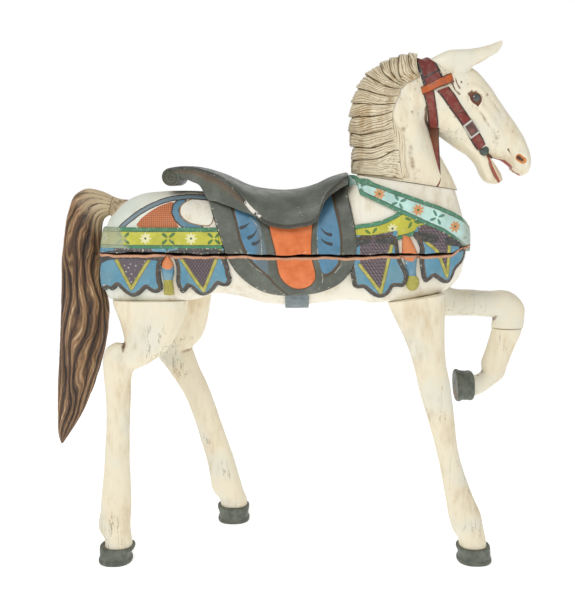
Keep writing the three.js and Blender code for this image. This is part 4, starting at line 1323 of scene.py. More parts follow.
seatShape = {
    # x, height and half width at the crown, lip level, lip's reach, lower edge of the side band
    "sections": [
        (-318, 1015.5, 84, 1013, 86, 1000), (-300, 1018, 86, 1016, 88, 986),
                 (-280, 1019.5, 90, 1017, 91, 988),
        (-262, 1019.5, 95, 1015.5, 96, 981), (-240, 1017, 102, 1011, 104, 969),
                 (-222, 1013, 110, 1005, 112, 938),
        (-200, 1006, 118, 998, 121, 932), (-175, 997, 126, 983, 131, 924), (-155, 988, 131, 967, 139, 917),
        (-139, 980, 134, 951, 144, 911), (-127, 975, 136, 935, 147, 907), (-115, 971, 138, 919, 149, 902),
        (-95, 966, 140, 899, 151, 891), (-78, 963, 141, 886, 151, 879), (-53, 960.5, 142, 877, 151, 870),
        (-28, 960, 142, 873, 151, 866), (9, 964, 142, 877, 151, 870), (39, 971, 140, 885, 150, 878),
                 (52, 976, 139, 897, 149, 889),
        (60, 979, 138, 918, 147, 908), (68, 983, 137, 940, 144, 928), (80, 989, 135, 957, 140, 944),
                 (95, 995, 132, 970, 136, 955),
        (112, 1000, 129, 984, 131, 966), (128, 1004, 126, 994, 127, 974)],
    "scroll": {"x": -314, "z": 992, "radius": 22.5, "half": 86, "turns": 2.4},
}


def makeSeat():
    rows = np.array(seatShape["sections"], float)
    rows = evenly(rows, 190, 1)
    x, crown, wide, lip, reach, low = rows.T
    columns = []
    for t in np.linspace(0, 1, 26):      # over the crown, from the middle to the lip
        turn = t * math.pi / 2
        y = reach * math.sin(turn) ** 0.92
        z = lip + (crown - lip) * math.cos(turn) ** 0.85
        columns.append((y, z))
    for t in (0.0, 0.35, 0.7, 1.0):      # the lip's rounded edge
        columns.append((reach + 1.5 * math.sin(t * math.pi), lip - 1.5 - 5.0 * t))
    for t in (0.12, 0.3, 0.5, 0.7, 0.86, 0.97, 1.0):      # the side band, a little hollow, down to its edge
        drop = np.maximum(lip - 6.5 - low, 1.0)
        columns.append((reach - 2.5 - 5.0 * t, lip - 6.5 - drop * t))
    columns.append((reach - 12, low - 1.0))
    columns.append((reach * 0.8, low + 4))
    rightSide = np.array([[x, -y + 0 * x, z + 0 * x] for y, z in columns]).transpose(2, 0, 1)
    leftSide = rightSide[:, :0:-1] * [1, -1, 1]
    ring = np.concatenate([rightSide, leftSide], axis=1)
    piece = makePiece("saddleSeat", *tubeParts(ring))
    points = pointsOf(piece)
    lipLevel = np.interp(points[:, 0], x, lip)
    lipReach = np.interp(points[:, 0], x, reach)
    place = np.stack([points[:, 0], points[:, 2]], axis=1)
    addField(piece, "toLip", np.hypot(points[:, 2] - lipLevel + 1, np.abs(points[:, 1]) - lipReach))
    chipped = np.minimum(np.linalg.norm(place - [-112, 919], axis=1) - 26,
                         np.linalg.norm(place - [-92, 899], axis=1) - 16)
    addField(piece, "chipHere", np.where(points[:, 1] < 0, -chipped, -60))
    placePoints(piece, points + normalsOf(piece) * (softNoise(points, 60, 5, 2) * 0.9)[:, None])
    addGrime(piece, 10, 1.0)
    return piece


def makeScroll():
    # the roll at the back of the cantle; its ends are carved as spirals
    shape = seatShape["scroll"]
    around = 84
    angle = np.linspace(0, 2 * math.pi, around, endpoint=False)
    spiral = lambda radius, turn: 0.5 + 0.5 * np.cos(2 * math.pi * shape["turns"] * (1 - radius) - turn)
    rings = []
    # the end towards the right flank, rim to middle is built inwards
    for t in np.linspace(1.0, 0.02, 22):
        rings.append((t, -shape["half"], t))
    body = [(1.0, y, None) for y in np.linspace(-shape["half"] + 2, shape["half"] - 2, 40)]
    ends = rings[::-1] + body + [(t, -y, t2) for t, y, t2 in rings]
    grid = []
    for t, y, face in ends:
        radius = shape["radius"] * t
        depth = 0
        if face is not None:
            fold = spiral(t, angle)
            depth = (4.2 * (1 - fold ** 3) + 1.2 * (1 - t)) * (1 if t < 0.97 else 0.25)
        grid.append(np.stack([shape["x"] + radius * np.cos(angle), y - np.sign(y) * depth + 0 * angle,
                              shape["z"] + radius * np.sin(angle)], axis=1))
    piece = makePiece("saddleScroll", *tubeParts(np.array(grid)))
    addField(piece, "toLip", np.full(len(piece.data.vertices), 60.0))
    addField(piece, "chipHere", np.full(len(piece.data.vertices), -60.0))
    addGrime(piece, 5, 0.8)
    return piece


def seatFinish():
    made = Finish("seatPaint")
    paint = hideColour(made)
    wobble = made.calc("MULTIPLY_ADD", made.noise(9, 4, 0.65), 5.0, -2.5)
    edge = made.step(made.calc("ADD", made.field("toLip"), wobble), 5.5, 3.0)
    paint = made.mix(made.calc("MULTIPLY", edge, 0.75), paint, colour(38, 36, 30))
    chip = made.calc("ADD", made.field("chipHere"), made.calc("MULTIPLY_ADD", made.noise(13, 5, 0.7), 70,
                                                              -43))
    close = made.step(made.calc("ADD", made.field("toLip"), wobble), 9.0, 6.0)
    paint = made.mix(made.calc("MULTIPLY", made.step(chip, 0, 2), close), paint,
                     colour(*saddleColours["groundCoat"]))
    small = made.calc("MULTIPLY", made.step(made.noise(9, 5, 0.72), 0.66, 0.69),
                      made.step(made.field("toLip"), 6, 4))
    paint = made.mix(small, paint, colour(200, 196, 184))
    paint = weather(made, paint, stain=0.35, chips=0.15, dirt=0.1)
    return made.finish(paint, roughnessOf(made, 0.46, 0.18), woodRelief(made), 0.35, 1.0)


girthShape = {"x": (-28, 33), "above": 704, "relief": 9}


def makeGirth():
    # a strap end carved round the belly
    section = smoothThrough([row[0] for row in trunkShape["sections"]],
                            [row[1:] for row in trunkShape["sections"]], [2.0])[0]
    top, bottom, wide, _, square = section
    middle, half = (top + bottom) / 2, (top - bottom) / 2
    rows = []
    for y in np.concatenate([np.linspace(-118, -60, 14), np.linspace(-54, 54, 20),
                             np.linspace(60, 118, 14)]):
        z = middle - half * (1 - (abs(y) / wide) ** square) ** (1 / square)
        y2 = y + 0.5
        z2 = middle - half * (1 - (abs(y2) / wide) ** square) ** (1 / square)
        out = np.array([0, z2 - z, -(y2 - y)])
        out /= np.linalg.norm(out)
        loop = []
        left, right = girthShape["x"]
        for x, lift in [(left, -6), (left, 6), (left + 1, 8), (left + 3, 9), (left + 7, 8.4),
                        (left + 14, 8.7), (2, 8.9),
                        (right - 14, 8.7), (right - 7, 8.4), (right - 3, 9), (right - 1, 8), (right, 6),
                        (right, -6)]:
            loop.append(np.array([x, y, z]) + out * lift)
        rows.append(loop)
    piece = makePiece("girthStrap", *tubeParts(np.array(rows)))
    addField(piece, "toLip", np.full(len(piece.data.vertices), 60.0))
    addField(piece, "chipHere", np.full(len(piece.data.vertices), -60.0))
    addGrime(piece, 3, 0.6)
    return piece


def girthFinish():
    made = Finish("girthPaint")
    paint = made.mix(made.step(made.noise(22, 4, 0.65), 0.35, 0.66), colour(92, 104, 110),
                     colour(118, 130, 132))
    paint = weather(made, paint, stain=0.6, chips=0.5, dirt=0.3)
    return made.finish(paint, roughnessOf(made, 0.55), woodRelief(made), 0.45, 1.1)


skirtPaint, seatPaint = skirtFinish(), seatFinish()
for side in (-1, 1):
    settle(makeSkirt(side), skirtPaint, "painted_body")
settle(makeSeat(), seatPaint, "painted_body")
settle(makeScroll(), seatPaint, "painted_body")
settle(makeGirth(), girthFinish(), "painted_body")
print("saddle ready")


# legs

def loftRings(sections, count, sides=40, grow=0.0):
    # closed rings through sections of (edge a x, z, edge b x, z, y, half width, squareness a, squareness b)
    full = [(*row, 2.3, 2.3)[:8] if len(row) == 6 else (*row, row[6])[:8] for row in sections]
    rows = evenly(np.array(full, float), count, 4)
    angle = 2 * math.pi * (np.arange(sides) + 0.5) / sides
    rings = []
    for ax, az, bx, bz, y, wide, squareA, squareB in rows:
        heart = np.array([(ax + bx) / 2, y, (az + bz) / 2])
        arm = np.array([(ax - bx) / 2, 0, (az - bz) / 2])
        length = np.linalg.norm(arm)
        arm *= (length + grow) / max(length, 1e-6)
        power = np.where(np.cos(angle) > 0, squareA, squareB)
        along = np.sign(np.cos(angle)) * np.abs(np.cos(angle)) ** (2 / power)
        across = np.sign(np.sin(angle)) * np.abs(np.sin(angle)) ** (2 / power)
        rings.append(heart + along[:, None] * arm + across[:, None] * [0, wide + grow, 0])
    return np.array(rings)


def loftSolid(sections, count=60, sides=40, grow=0.0):
    points, faces = tubeParts(loftRings(sections, count, sides, grow))
    corners = points[[face[:3] for face in faces]]
    if np.einsum("ij,ij->i", corners[:, 0], np.cross(corners[:, 1], corners[:, 2])).sum() < 0:
        faces = [face[::-1] for face in faces]
    return points, faces


def trimmed(piece, point, normal):
    # cuts the piece flat, and takes away what is on the side that normal points to
    work = bmesh.new()
    work.from_mesh(piece.data)
    everything = work.verts[:] + work.edges[:] + work.faces[:]
    cutParts = bmesh.ops.bisect_plane(work, geom=everything, plane_co=Vector(point) * mm,
                                      plane_no=Vector(normal),
                                      clear_outer=True)
    edges = [part for part in cutParts["geom_cut"] if isinstance(part, bmesh.types.BMEdge)]
    filled = bmesh.ops.holes_fill(work, edges=edges)
    bmesh.ops.triangulate(work, faces=[face for face in filled["faces"] if len(face.verts) > 4])
    work.to_mesh(piece.data)
    work.free()
    piece.data.polygons.foreach_set("use_smooth", [True] * len(piece.data.polygons))
    return piece


legShapes = {
    "hindLegRight": {
        "node": "hind_leg_right", "top": ((-350, 0, 681.5), (0, 0, 1)),
        "lofts": [
            [(-470, 716, -272, 716, -84, 45, 2.8), (-466, 672, -277, 672, -86, 45, 2.7),
             (-452, 636, -287, 632, -92, 43, 2.5),
             (-442, 600, -304, 594, -98, 39), (-438, 575, -334, 551, -103, 35),
             (-446, 560, -370, 524, -107, 32),
             (-466, 545, -408, 506, -109, 29)],
            [(-462, 575, -440, 572, -106, 12, 2), (-482, 563, -420, 553, -107, 25, 2),
             (-492, 535, -410, 522, -109, 31),
             (-491, 492, -419, 490, -111, 30), (-487, 429, -424, 429, -113, 27),
             (-492, 290, -429, 290, -121, 27),
             (-507, 140, -428, 140, -126, 33), (-512, 88, -431, 88, -127, 35),
             (-497, 60, -428, 58, -128, 33),
             (-500, 30, -426, 28, -128, 36)]],
        "hoof": ((-511, -420, 41), (-512, -430), -128, 42)},
    "hindLegLeft": {
        "node": "hind_leg_left", "top": ((-350, 0, 681.5), (0, 0, 1)),
        "lofts": [
            [(-428, 716, -226, 716, 84, 45, 2.8), (-426, 672, -232, 668, 86, 45, 2.7),
             (-420, 630, -240, 622, 92, 42, 2.5),
             (-412, 585, -251, 577, 98, 38), (-404, 545, -266, 545, 103, 34),
             (-392, 505, -290, 519, 107, 31),
             (-376, 478, -296, 496, 109, 28)],
            [(-404, 530, -380, 545, 106, 14, 2), (-402, 512, -310, 540, 107, 28, 2),
             (-382, 488, -285, 505, 108, 31),
             (-366, 466, -276, 476, 110, 31), (-322, 396, -249, 410, 117, 28),
             (-279, 272, -208, 284, 128, 27),
             (-254, 172, -176, 180, 138, 31), (-245, 122, -160, 122, 139, 35),
             (-240, 90, -151, 88, 141, 35),
             (-220, 64, -141, 60, 142, 33), (-216, 32, -140, 30, 142, 36)]],
        "hoof": ((-226, -134, 44), (-222, -136), 142, 42)},
    "forelegRight": {
        "node": "foreleg_right", "top": ((232, 0, 677.2), (-0.1425, 0, 0.9898)),
        "lofts": [
            [(216, 730, 378, 760, -78, 44, 2.8), (226, 700, 378, 730, -80, 44, 2.8),
             (236, 672, 379, 690, -82, 44, 2.7),
             (254, 630, 380, 640, -87, 42, 2.5), (274, 590, 380, 598, -91, 38),
             (290, 551, 381, 556, -95, 34),
             (303, 508, 386, 510, -99, 31), (315, 455, 397, 458, -102, 31), (341, 370, 409, 370, -107, 28),
             (362, 298, 418, 298, -112, 26), (377, 230, 434, 238, -116, 26), (389, 168, 459, 172, -120, 30),
             (399, 112, 481, 122, -123, 34), (408, 82, 489, 84, -125, 35), (424, 58, 496, 56, -126, 33),
             (427, 30, 498, 28, -126, 36)]],
        "hoof": ((419, 506, 40), (424, 508), -126, 42)},
    "forelegLeftUpper": {
        "node": "foreleg_left_upper", "top": ((232, 0, 677.2), (-0.1425, 0, 0.9898)),
                         "foot": ((550, 0, 577.4), (0, 0, -1)),
        "lofts": [
            [(250, 690, 262, 660, 84, 34, 2.6), (290, 700, 304, 628, 86, 43, 2.6),
             (350, 712, 356, 613, 90, 44, 2.6),
             (400, 708, 404, 611, 94, 42, 2.5), (436, 688, 440, 611, 97, 39), (486, 684, 486, 611, 100, 37),
             (542, 680, 532, 608, 103, 36), (588, 680, 552, 604, 105, 37), (618, 664, 552, 594, 106, 37),
             (637, 636, 550, 588, 107, 36), (638, 600, 550, 582, 108, 35), (634, 550, 551, 556, 108, 34)]]},
    "forelegLeftLower": {
        "node": "foreleg_left_lower", "top": ((550, 0, 574.6), (0, 0, 1)),
        "lofts": [
            [(552, 596, 635, 596, 108, 34), (550, 566, 632, 564, 108, 33), (540, 530, 621, 535, 108, 30),
             (530, 497, 608, 500, 108, 28), (523, 474, 597, 468, 108, 28), (526, 456, 587, 438, 108, 30),
             (522, 446, 557, 411, 108, 31), (510, 440, 524, 387, 108, 32), (480, 440, 482, 378, 108, 34)]]},
}


def makeLeg(name):
    shape = legShapes[name]
    leg = fused(name, [loftSolid(rows) for rows in shape["lofts"]], 3.5, 5)
    trimmed(leg, *shape["top"])
    if "foot" in shape:
        trimmed(leg, *shape["foot"])
    points = pointsOf(leg)
    knife = softNoise(points, (26, 26, 60), 11, 2) * 0.9 + softNoise(points, (9, 9, 30), 12, 1) * 0.35
    placePoints(leg, points + normalsOf(leg) * knife[:, None])
    addGrime(leg, 12, 1.0)
    return settle(leg, creamPaint, "cream_paint", shape["node"])


def makeHoof(name, top, sole, y, wide):
    # a painted band with a rim at the sole
    back, front = sole
    rows = [(top[0] + 9, top[2] + 2.5, top[1] - 9, top[2] + 2.5, y, wide - 8),
            (top[0] + 3, top[2] + 2.5, top[1] - 3, top[2] + 2.5, y, wide - 3),
            (top[0] + 0.6, top[2] + 1, top[1] - 0.6, top[2] + 1, y, wide - 0.6),
            (top[0], top[2] - 2, top[1], top[2] - 2, y, wide),
            (back + 0.5, 22, front - 0.5, 22, y, wide - 0.5), (back, 13, front, 13, y, wide),
            (back - 0.5, 11, front + 0.5, 11, y, wide + 0.5),
            (back - 2.2, 9.4, front + 2.2, 9.4, y, wide + 2.2),
            (back - 2.5, 7, front + 2.5, 7, y, wide + 2.5), (back - 2.5, 2, front + 2.5, 2, y, wide + 2.5),
            (back - 1.5, 0.3, front + 1.5, 0.3, y, wide + 1.5), (back + 4, 0, front - 4, 0, y, wide - 4)]
    hoof = makePiece(name, *loftSolid(rows, 46, 72))
    points = pointsOf(hoof)
    dents = softNoise(points, 16, 21, 2) * 0.5
    dents[points[:, 2] < 1] = 0
    placePoints(hoof, points + normalsOf(hoof) * dents[:, None])
    addGrime(hoof, 4, 0.7)
    return hoof


def hoofFinish():
    made = Finish("hoofPaint")
    paint = made.mix(made.step(made.noise(20, 5, 0.65), 0.35, 0.66), colour(78, 84, 74),
                     colour(104, 108, 96))
    paint = weather(made, paint, stain=0.7, chips=0.5, dirt=0.35)
    return made.finish(paint, roughnessOf(made, 0.5), woodRelief(made), 0.5, 1.2)


hoofPaint = hoofFinish()
for leg, shape in legShapes.items():
    makeLeg(leg)
    if "hoof" in shape:
        settle(makeHoof(leg.replace("Leg", "Hoof").replace("leg", "Hoof"), *shape["hoof"]), hoofPaint,
               "cream_paint")


def makeRaisedHoof():
    rows = [(500, 446, 502, 374, 108, 34), (498, 449, 500, 371, 108, 38), (495, 451, 497, 369, 108, 40),
            (480, 451, 483, 369, 108, 40.5), (466, 452, 470, 368.6, 108, 41),
            (462, 453, 466, 367, 108, 42.5),
            (459, 455, 463, 365.4, 108, 43.5), (452, 455, 457, 365.4, 108, 43.5),
            (450, 453, 455, 367, 108, 42),
            (449.6, 446, 454.5, 374, 108, 35)]
    hoof = makePiece("foreHoofLeft", *loftSolid(rows, 40, 72))
    points = pointsOf(hoof)
    placePoints(hoof, points + normalsOf(hoof) * (softNoise(points, 16, 23, 2) * 0.5)[:, None])
    addGrime(hoof, 4, 0.7)
    return hoof


settle(makeRaisedHoof(), hoofPaint, "cream_paint")
print("legs ready")


# tail and the dock it stands against

tailShape = {
    "sections": [
        (-475.3, 941, -487.3, 894, 0, 25), (-506, 955, -502, 884, 0, 29), (-543, 961, -509, 864, 0, 34),
        (-574, 945, -511, 840, 0, 39), (-594, 903, -511, 808, 0, 43), (-604, 850, -510, 768, 0, 46),
        (-614, 775, -506, 715, 0, 48), (-621, 680, -499, 662, 0, 49), (-627, 590, -503, 590, 0, 47),
        (-633, 500, -520, 508, 0, 43), (-639, 415, -550, 422, 0, 36), (-643, 348, -584, 352, 0, 26),
        (-643, 300, -613, 305, 0, 14), (-638, 275, -632, 277, 0, 3)],
    "strands": 14, "depth": 7.5,
}


def makeTail():
    shape = tailShape
    count, sides = 250, 168
    rings = loftRings([(*row, 2.1) for row in shape["sections"]], count, sides)
    t = np.linspace(0, 1, count)[:, None]
    angle = 2 * math.pi * (np.arange(sides) + 0.5)[None, :] / sides
    x, y = np.cos(angle), np.sin(angle)
    flow = np.stack([(x * 1.3 + 0 * t).ravel(), (y * 1.3 + 0 * t).ravel(), (t * 7.0 + 0 * angle).ravel()],
                    axis=1)
    bend = softNoise(flow, 1.0, 31, 2).reshape(count, sides)
    sway = 0.9 * np.sin(t * 17.0 + 1.6 * x + 1.4 * bend) * np.minimum(1, t * 5)
    phase = shape["strands"] * angle + 5.2 * bend + 2.8 * sway
    lock = np.abs(np.sin(phase / 2)) ** 0.8
    fineShift = softNoise(flow * [1, 1, 2.2], 0.45, 33, 1).reshape(count, sides)
    hairs = 0.5 + 0.5 * np.cos(phase * 3.0 + 4.0 * fineShift)
    big = 0.5 + 0.5 * np.cos(3 * angle + 2.2 * np.sin(t * 9.0) + 1.2 * bend)
    relief = shape["depth"] * (0.62 * lock + 0.17 * hairs + 0.35 * big - 0.75)
    girth = np.linalg.norm(rings - rings.mean(axis=1, keepdims=True), axis=2).mean(axis=1)[:, None]
    fade = np.clip(t * 14, 0.12, 1) * np.clip(girth / 34, 0.15, 1)
    heart = rings.mean(axis=1, keepdims=True)
    out = rings - heart
    out /= np.linalg.norm(out, axis=2, keepdims=True)
    rings = rings + out * (relief * fade)[:, :, None]
    tail = makePiece("carvedTail", *tubeParts(rings))
    height = np.append((lock * 0.6 + hairs * 0.25 + big * 0.15).ravel(), [0.5, 0.5])
    addField(tail, "strand", height)
    addField(tail, "fall", np.append((t + 0 * angle).ravel(), [0, 1]))
    addGrime(tail, 8, 1.6)
    return tail


def tailFinish():
    made = Finish("tailPaint")
    strand, fall = made.field("strand"), made.field("fall")
    fine = made.noise(7, 5, 0.65, made.stretch(1, 1, 0.18))
    lifted = made.calc("ADD", strand, made.calc("MULTIPLY_ADD", fine, 0.5, -0.25))
    paint = made.mix(made.step(lifted, 0.22, 0.60), colour(36, 24, 16), colour(86, 60, 38))
    paint = made.mix(made.step(lifted, 0.58, 0.88), paint, colour(150, 116, 80))
    paint = made.mix(made.step(lifted, 0.88, 1.05), paint, colour(206, 184, 150))
    root = made.calc("ADD", fall, made.calc("MULTIPLY_ADD", made.noise(40, 4, 0.6), 0.10, -0.05))
    pale = made.mix(made.step(lifted, 0.15, 0.5), colour(104, 78, 52), colour(190, 170, 136))
    paint = made.mix(made.step(root, 0.15, 0.03), paint, pale)
    grime = made.field("grime")
    paint = made.mix(made.step(grime, 0.15, 0.75, 0, 0.8), paint, colour(26, 18, 13))
    height = made.calc("ADD", made.calc("MULTIPLY", fine, 0.8),
                       made.calc("MULTIPLY", made.noise(3, 3, 0.6), 0.2))
    return made.finish(paint, roughnessOf(made, 0.5), height, 0.6, 1.6)


def makeDock():
    rows = [(-428, 934, -448, 862, 0, 38), (-440, 934, -458, 868, 0, 33), (-455, 935, -472, 880, 0, 28.5),
            (-468, 938.5, -481.5, 890, 0, 25.5), (-474, 940.8, -486.4, 893.6, 0, 24.6)]
    dock = makePiece("dockStump", *loftSolid([(*row, 2.1) for row in rows], 30, 60))
    points = pointsOf(dock)
    placePoints(dock, points + normalsOf(dock) * (softNoise(points, (9, 14, 30), 41, 2) * 0.8)[:, None])
    addField(dock, "strand", 0.5 + 0.5 * softNoise(points, (12, 9, 40), 42, 2))
    addField(dock, "fall", np.zeros(len(points)))
    addGrime(dock, 4, 0.6)
    return dock


tailPaint = tailFinish()
settle(makeTail(), tailPaint, "brown_tail", "tail")
settle(makeDock(), tailPaint, "painted_body")
print("tail ready")


# head and neck

headShape = {
    "neck": [(150, 950, 430, 905, 0, 96, 3), (160, 1000, 416, 962, 0, 92, 2.8),
             (166, 1035, 391, 1014, 0, 80, 2.5),
             (166, 1075, 364, 1060, 0, 71), (164, 1115, 344, 1100, 0, 66), (166, 1155, 338, 1130, 0, 62),
             (182, 1200, 352, 1150, 0, 59), (216, 1242, 378, 1170, 0, 56), (262, 1272, 396, 1200, 0, 50),
             (306, 1288, 410, 1224, 0, 40)],
    "skull": [(300, 1276, 300, 1140, 0, 44), (345, 1292, 346, 1113, 0, 58), (400, 1286, 390, 1083, 0, 64),
              (452, 1264, 424, 1060, 0, 63, 2.5), (487, 1231, 454, 1045, 0, 57, 2.5),
              (519, 1188, 484, 1049, 0, 49, 2.4),
              (545, 1153, 508, 1042, 0, 43), (568, 1123, 530, 1034, 0, 40), (588, 1090, 551, 1020, 0, 39),
              (602, 1058, 568, 1004, 0, 38), (606, 1030, 582, 995, 0, 33), (603, 1008, 592, 997, 0, 20)],
    "jaw": [(440, 1100, 424, 1064, 0, 46), (477, 1064, 456, 1036, 0, 37), (497, 1046, 470, 1016, 0, 32),
            (515, 1026, 481, 992, 0, 29), (530, 1004, 498, 977, 0, 25), (538, 984, 520, 974, 0, 16)],
    "eye": [(426, 1199), (437, 1201.5), (450, 1201.5), (460, 1197), (465, 1187), (463, 1177), (458, 1172),
            (455, 1166),
            (449, 1172), (441, 1176), (435, 1184), (433, 1192)],
    "eyeball": (450, 1188, 12.5),
    "seam": ((162, 0, 996), (0.1459, 0, 0.9893)),
}


def bothSides(strokes):
    made = []
    for line, width, height in strokes:
        line = np.asarray(line, float).reshape(-1, 3)
        made += [(line, width, height), (line * [1, -1, 1], width, height)]
    return made


def makeHead():
    shape = headShape
    head = fused("headAndNeck", [loftSolid(shape["neck"], 90, 64), loftSolid(shape["skull"], 90, 64),
                                 loftSolid(shape["jaw"], 40, 48)], 2.75, 5)
    trimmed(head, shape["seam"][0], (-shape["seam"][1][0], 0, -shape["seam"][1][2]))
    carve(head, bothSides([
        ([(450, -62, 1187)], 24, -3.0),                                                  # eye socket
        ([(422, -60, 1204), (436, -60, 1214), (452, -60, 1213), (470, -57, 1203)], 8, 4.2),  # brow
        ([(392, -62, 1142)], 42, 4.5),                                                   # cheek
        ([(352, -60, 1108), (372, -60, 1098), (408, -52, 1074), (440, -44, 1052)], 8, 2.4),  # jaw's edge
        ([(466, -58, 1166), (492, -50, 1132), (520, -44, 1096)], 9, 3.4),                # crest of the face
        # hollow beside the nose
        ([(484, -46, 1196), (516, -38, 1152), (548, -32, 1108)], 11, -2.6),
        ([(455, -28, 1262), (465, -26, 1245), (481, -25, 1225), (497, -23, 1201), (511, -22, 1181),
          (528, -20, 1156)], 2.6, -1.6),
        # nostril's rim
        ([(561, -36, 1043), (570, -34, 1053), (584, -30, 1050), (590, -27, 1036)], 6.5, 3.4),
        ([(567, -37, 1042), (577, -34, 1036)], 6.5, -8.0),                               # nostril
        ([(540, -38, 1062), (548, -38, 1048)], 3.0, -1.6),
        # upper lip
        ([(488, -38, 1056), (497, -37, 1043), (514, -34, 1038), (534, -30, 1034), (552, -26, 1021)], 5,
         2.4),
        # throat crease
        ([(291, -64, 1154), (301, -64, 1141), (314, -62, 1129), (326, -60, 1116)], 5, -4.2),
        ([(300, -66, 1120), (322, -74, 1060), (352, -82, 1000)], 22, 4.0),               # neck muscle
        ([(272, -68, 1110), (286, -76, 1050), (300, -86, 990)], 18, -3.0),
        # swirl by the ear
        ([(388, -58, 1256), (385, -60, 1241), (388, -60, 1226), (396, -60, 1207), (406, -60, 1196)], 3.4,
         -2.2),
        ([(400, -58, 1250), (397, -60, 1238), (400, -60, 1224), (406, -60, 1212)], 3.0, -1.2),
        ([(411, -58, 1248), (408, -60, 1236), (412, -60, 1226)], 2.6, -0.9),
        ([(412, -60, 1240), (424, -60, 1246), (436, -58, 1243)], 9, 2.0),
        ([(478, -24, 1022), (486, -23, 1002), (498, -20, 984)], 6, 2.2),                 # chin
        # lower lip's edge
        ([(491, -32, 1040), (498, -30, 1018), (510, -27, 994), (520, -22, 982)], 2.4, -2.2),
        ([(524, -47, 1098), (526, -46, 1082)], 2.2, -0.9),
    ]))
    points = pointsOf(head)
    knife = softNoise(points, 34, 51, 2) * 0.9 + softNoise(points, (14, 20, 14), 52, 1) * 0.4
    points = points + normalsOf(head) * knife[:, None]
    placePoints(head, points)
    return head


def headFields(head):
    points = pointsOf(head)
    place = points[:, [0, 2]]
    side = np.abs(points[:, 1])
    addField(head, "eyeRim", np.where(side > 30, edgeDistance(place, roundedOutline(headShape["eye"], 1)),
                                      -40))
    mouth = np.array([(486, 1058), (497, 1046), (514, 1040), (536, 1036), (552, 1024), (566, 1008),
                      (590, 990), (540, 978),
                      (534, 990), (521, 1016), (505, 1036)], float)
    gum = np.where(side < 30, edgeDistance(place, mouth), -40)
    line = lineDistance(place, [(489, 1054), (494, 1040), (502, 1019), (515, 994), (524, 981)])
    addField(head, "mouth", np.maximum(gum, np.where(side < 40, 3.4 - line, -40)))
    addField(head, "nostril", np.where(side > 15, 8.5 - lineDistance(place, [(568, 1042), (580, 1034)]),
                                       -40))
    anchor, level, slope = 162, 995, -0.1475
    addField(head, "toSeam", points[:, 2] - level - (points[:, 0] - anchor) * slope)
    addGrime(head, 8, 0.5)


def headFinish():
    made = Finish("headPaint")
    wobble = made.calc("MULTIPLY_ADD", made.noise(9, 3, 0.5), 1.6, -0.8)
    cool = made.mix(made.step(made.noise(120, 3, 0.5), 0.42, 0.65), colour(234, 224, 198),
                    colour(227, 222, 203))
    gap = made.step(made.calc("ADD", made.field("mouth"), wobble), -0.5, 0.5)
    paint = made.mix(gap, cool, made.mix(made.noise(8, 3, 0.6), colour(142, 58, 44), colour(190, 104, 88)))
    hole = made.calc("ADD", made.field("nostril"), wobble)
    paint = made.mix(made.step(hole, -0.8, 0.8), paint, colour(206, 132, 70))
    paint = made.mix(made.step(hole, 5.0, 7.5), paint, colour(172, 98, 52))
    rim = made.calc("ADD", made.field("eyeRim"), made.calc("MULTIPLY", wobble, 0.4))
    paint = made.mix(made.step(rim, -1.0, 0.0), paint, colour(92, 44, 34))
    paint = made.mix(made.step(made.field("toSeam"), 2.4, 0.8, 0, 0.9), paint, colour(74, 50, 32))
    paint = weather(made, paint, stain=0.85, dirt=0.5)
    hair = made.noise(30, 5, 0.6, made.stretch(1, 1, 0.25))
    line = made.step(made.calc("ABSOLUTE", made.calc("SUBTRACT", hair, 0.5)), 0.0, 0.010, 1, 0)
    some = made.step(made.noise(90, 2, 0.5), 0.54, 0.62)
    paint = made.mix(made.calc("MULTIPLY", made.calc("MULTIPLY", line, some), 0.5), paint,
                     agedPaint["deepStain"])
    return made.finish(paint, roughnessOf(made, 0.48), woodRelief(made), 0.35, 1.1)


head = makeHead()
headFields(head)
headPaint = headFinish()
settle(head, headPaint, "cream_paint", "head_and_neck")
headTree = BVHTree.FromPolygons(pointsOf(head).tolist(),
                                [list(face.vertices) for face in head.data.polygons])
print("head:", len(head.data.polygons), "faces")


# ears, eyes, teeth

earShape = {
    "sections": [  # base or front edge a x, z, back edge b x, z, y, half width
        (336, 1286, 410, 1226, 31, 20), (356, 1296, 424, 1240, 33, 25), (384, 1307, 440, 1257, 34, 26),
        (410, 1308.5, 456, 1268, 35, 24.5), (434, 1310, 470, 1276, 36, 21.5),
                 (456, 1313, 484, 1284, 37, 18),
        (476, 1317.5, 497, 1292, 38, 14), (494, 1323, 507, 1301, 38.5, 9.5),
                 (506, 1327.5, 513, 1313, 39, 5.5),
        (513, 1330, 516, 1324, 39, 2.4)],
    "hollow": 0.62,     # how far the hollow reaches to the ear's heart
}


def makeEar(side):
    count, sides = 110, 72
    rings = loftRings([(*row, 2.2) for row in earShape["sections"]], count, sides)
    t = np.linspace(0, 1, count)[:, None]
    angle = 2 * math.pi * (np.arange(sides) + 0.5)[None, :] / sides
    heart = rings.mean(axis=1, keepdims=True)
    # a hollow runs along the lower edge
    lower = np.clip(-np.cos(angle - 0.62), 0, 1) ** 1.6
    opening = easeIn(t, 0.24, 0.46) * (1 - easeIn(t, 0.94, 1.0))
    hollow = lower * opening * earShape["hollow"]
    rings = rings + (heart - rings) * hollow[:, :, None]
    fold = np.clip(-np.cos(angle - 0.62), 0, 1) ** 6 * opening * np.cos(angle * 9) * 0.9
    out = rings - heart
    out /= np.linalg.norm(out, axis=2, keepdims=True).clip(1e-6)
    rings = rings + out * fold[:, :, None]
    if side < 0:
        rings = rings * [1, -1, 1]
    ear = makePiece("ear" + ("Right" if side < 0 else "Left"), *tubeParts(rings))
    points = pointsOf(ear)
    placePoints(ear, points + normalsOf(ear) * (softNoise(points, 26, 61, 2) * 0.7)[:, None])
    addField(ear, "hollow", np.append((hollow / earShape["hollow"]).ravel(), [0, 0]))
    addGrime(ear, 8, 1.0)
    return ear


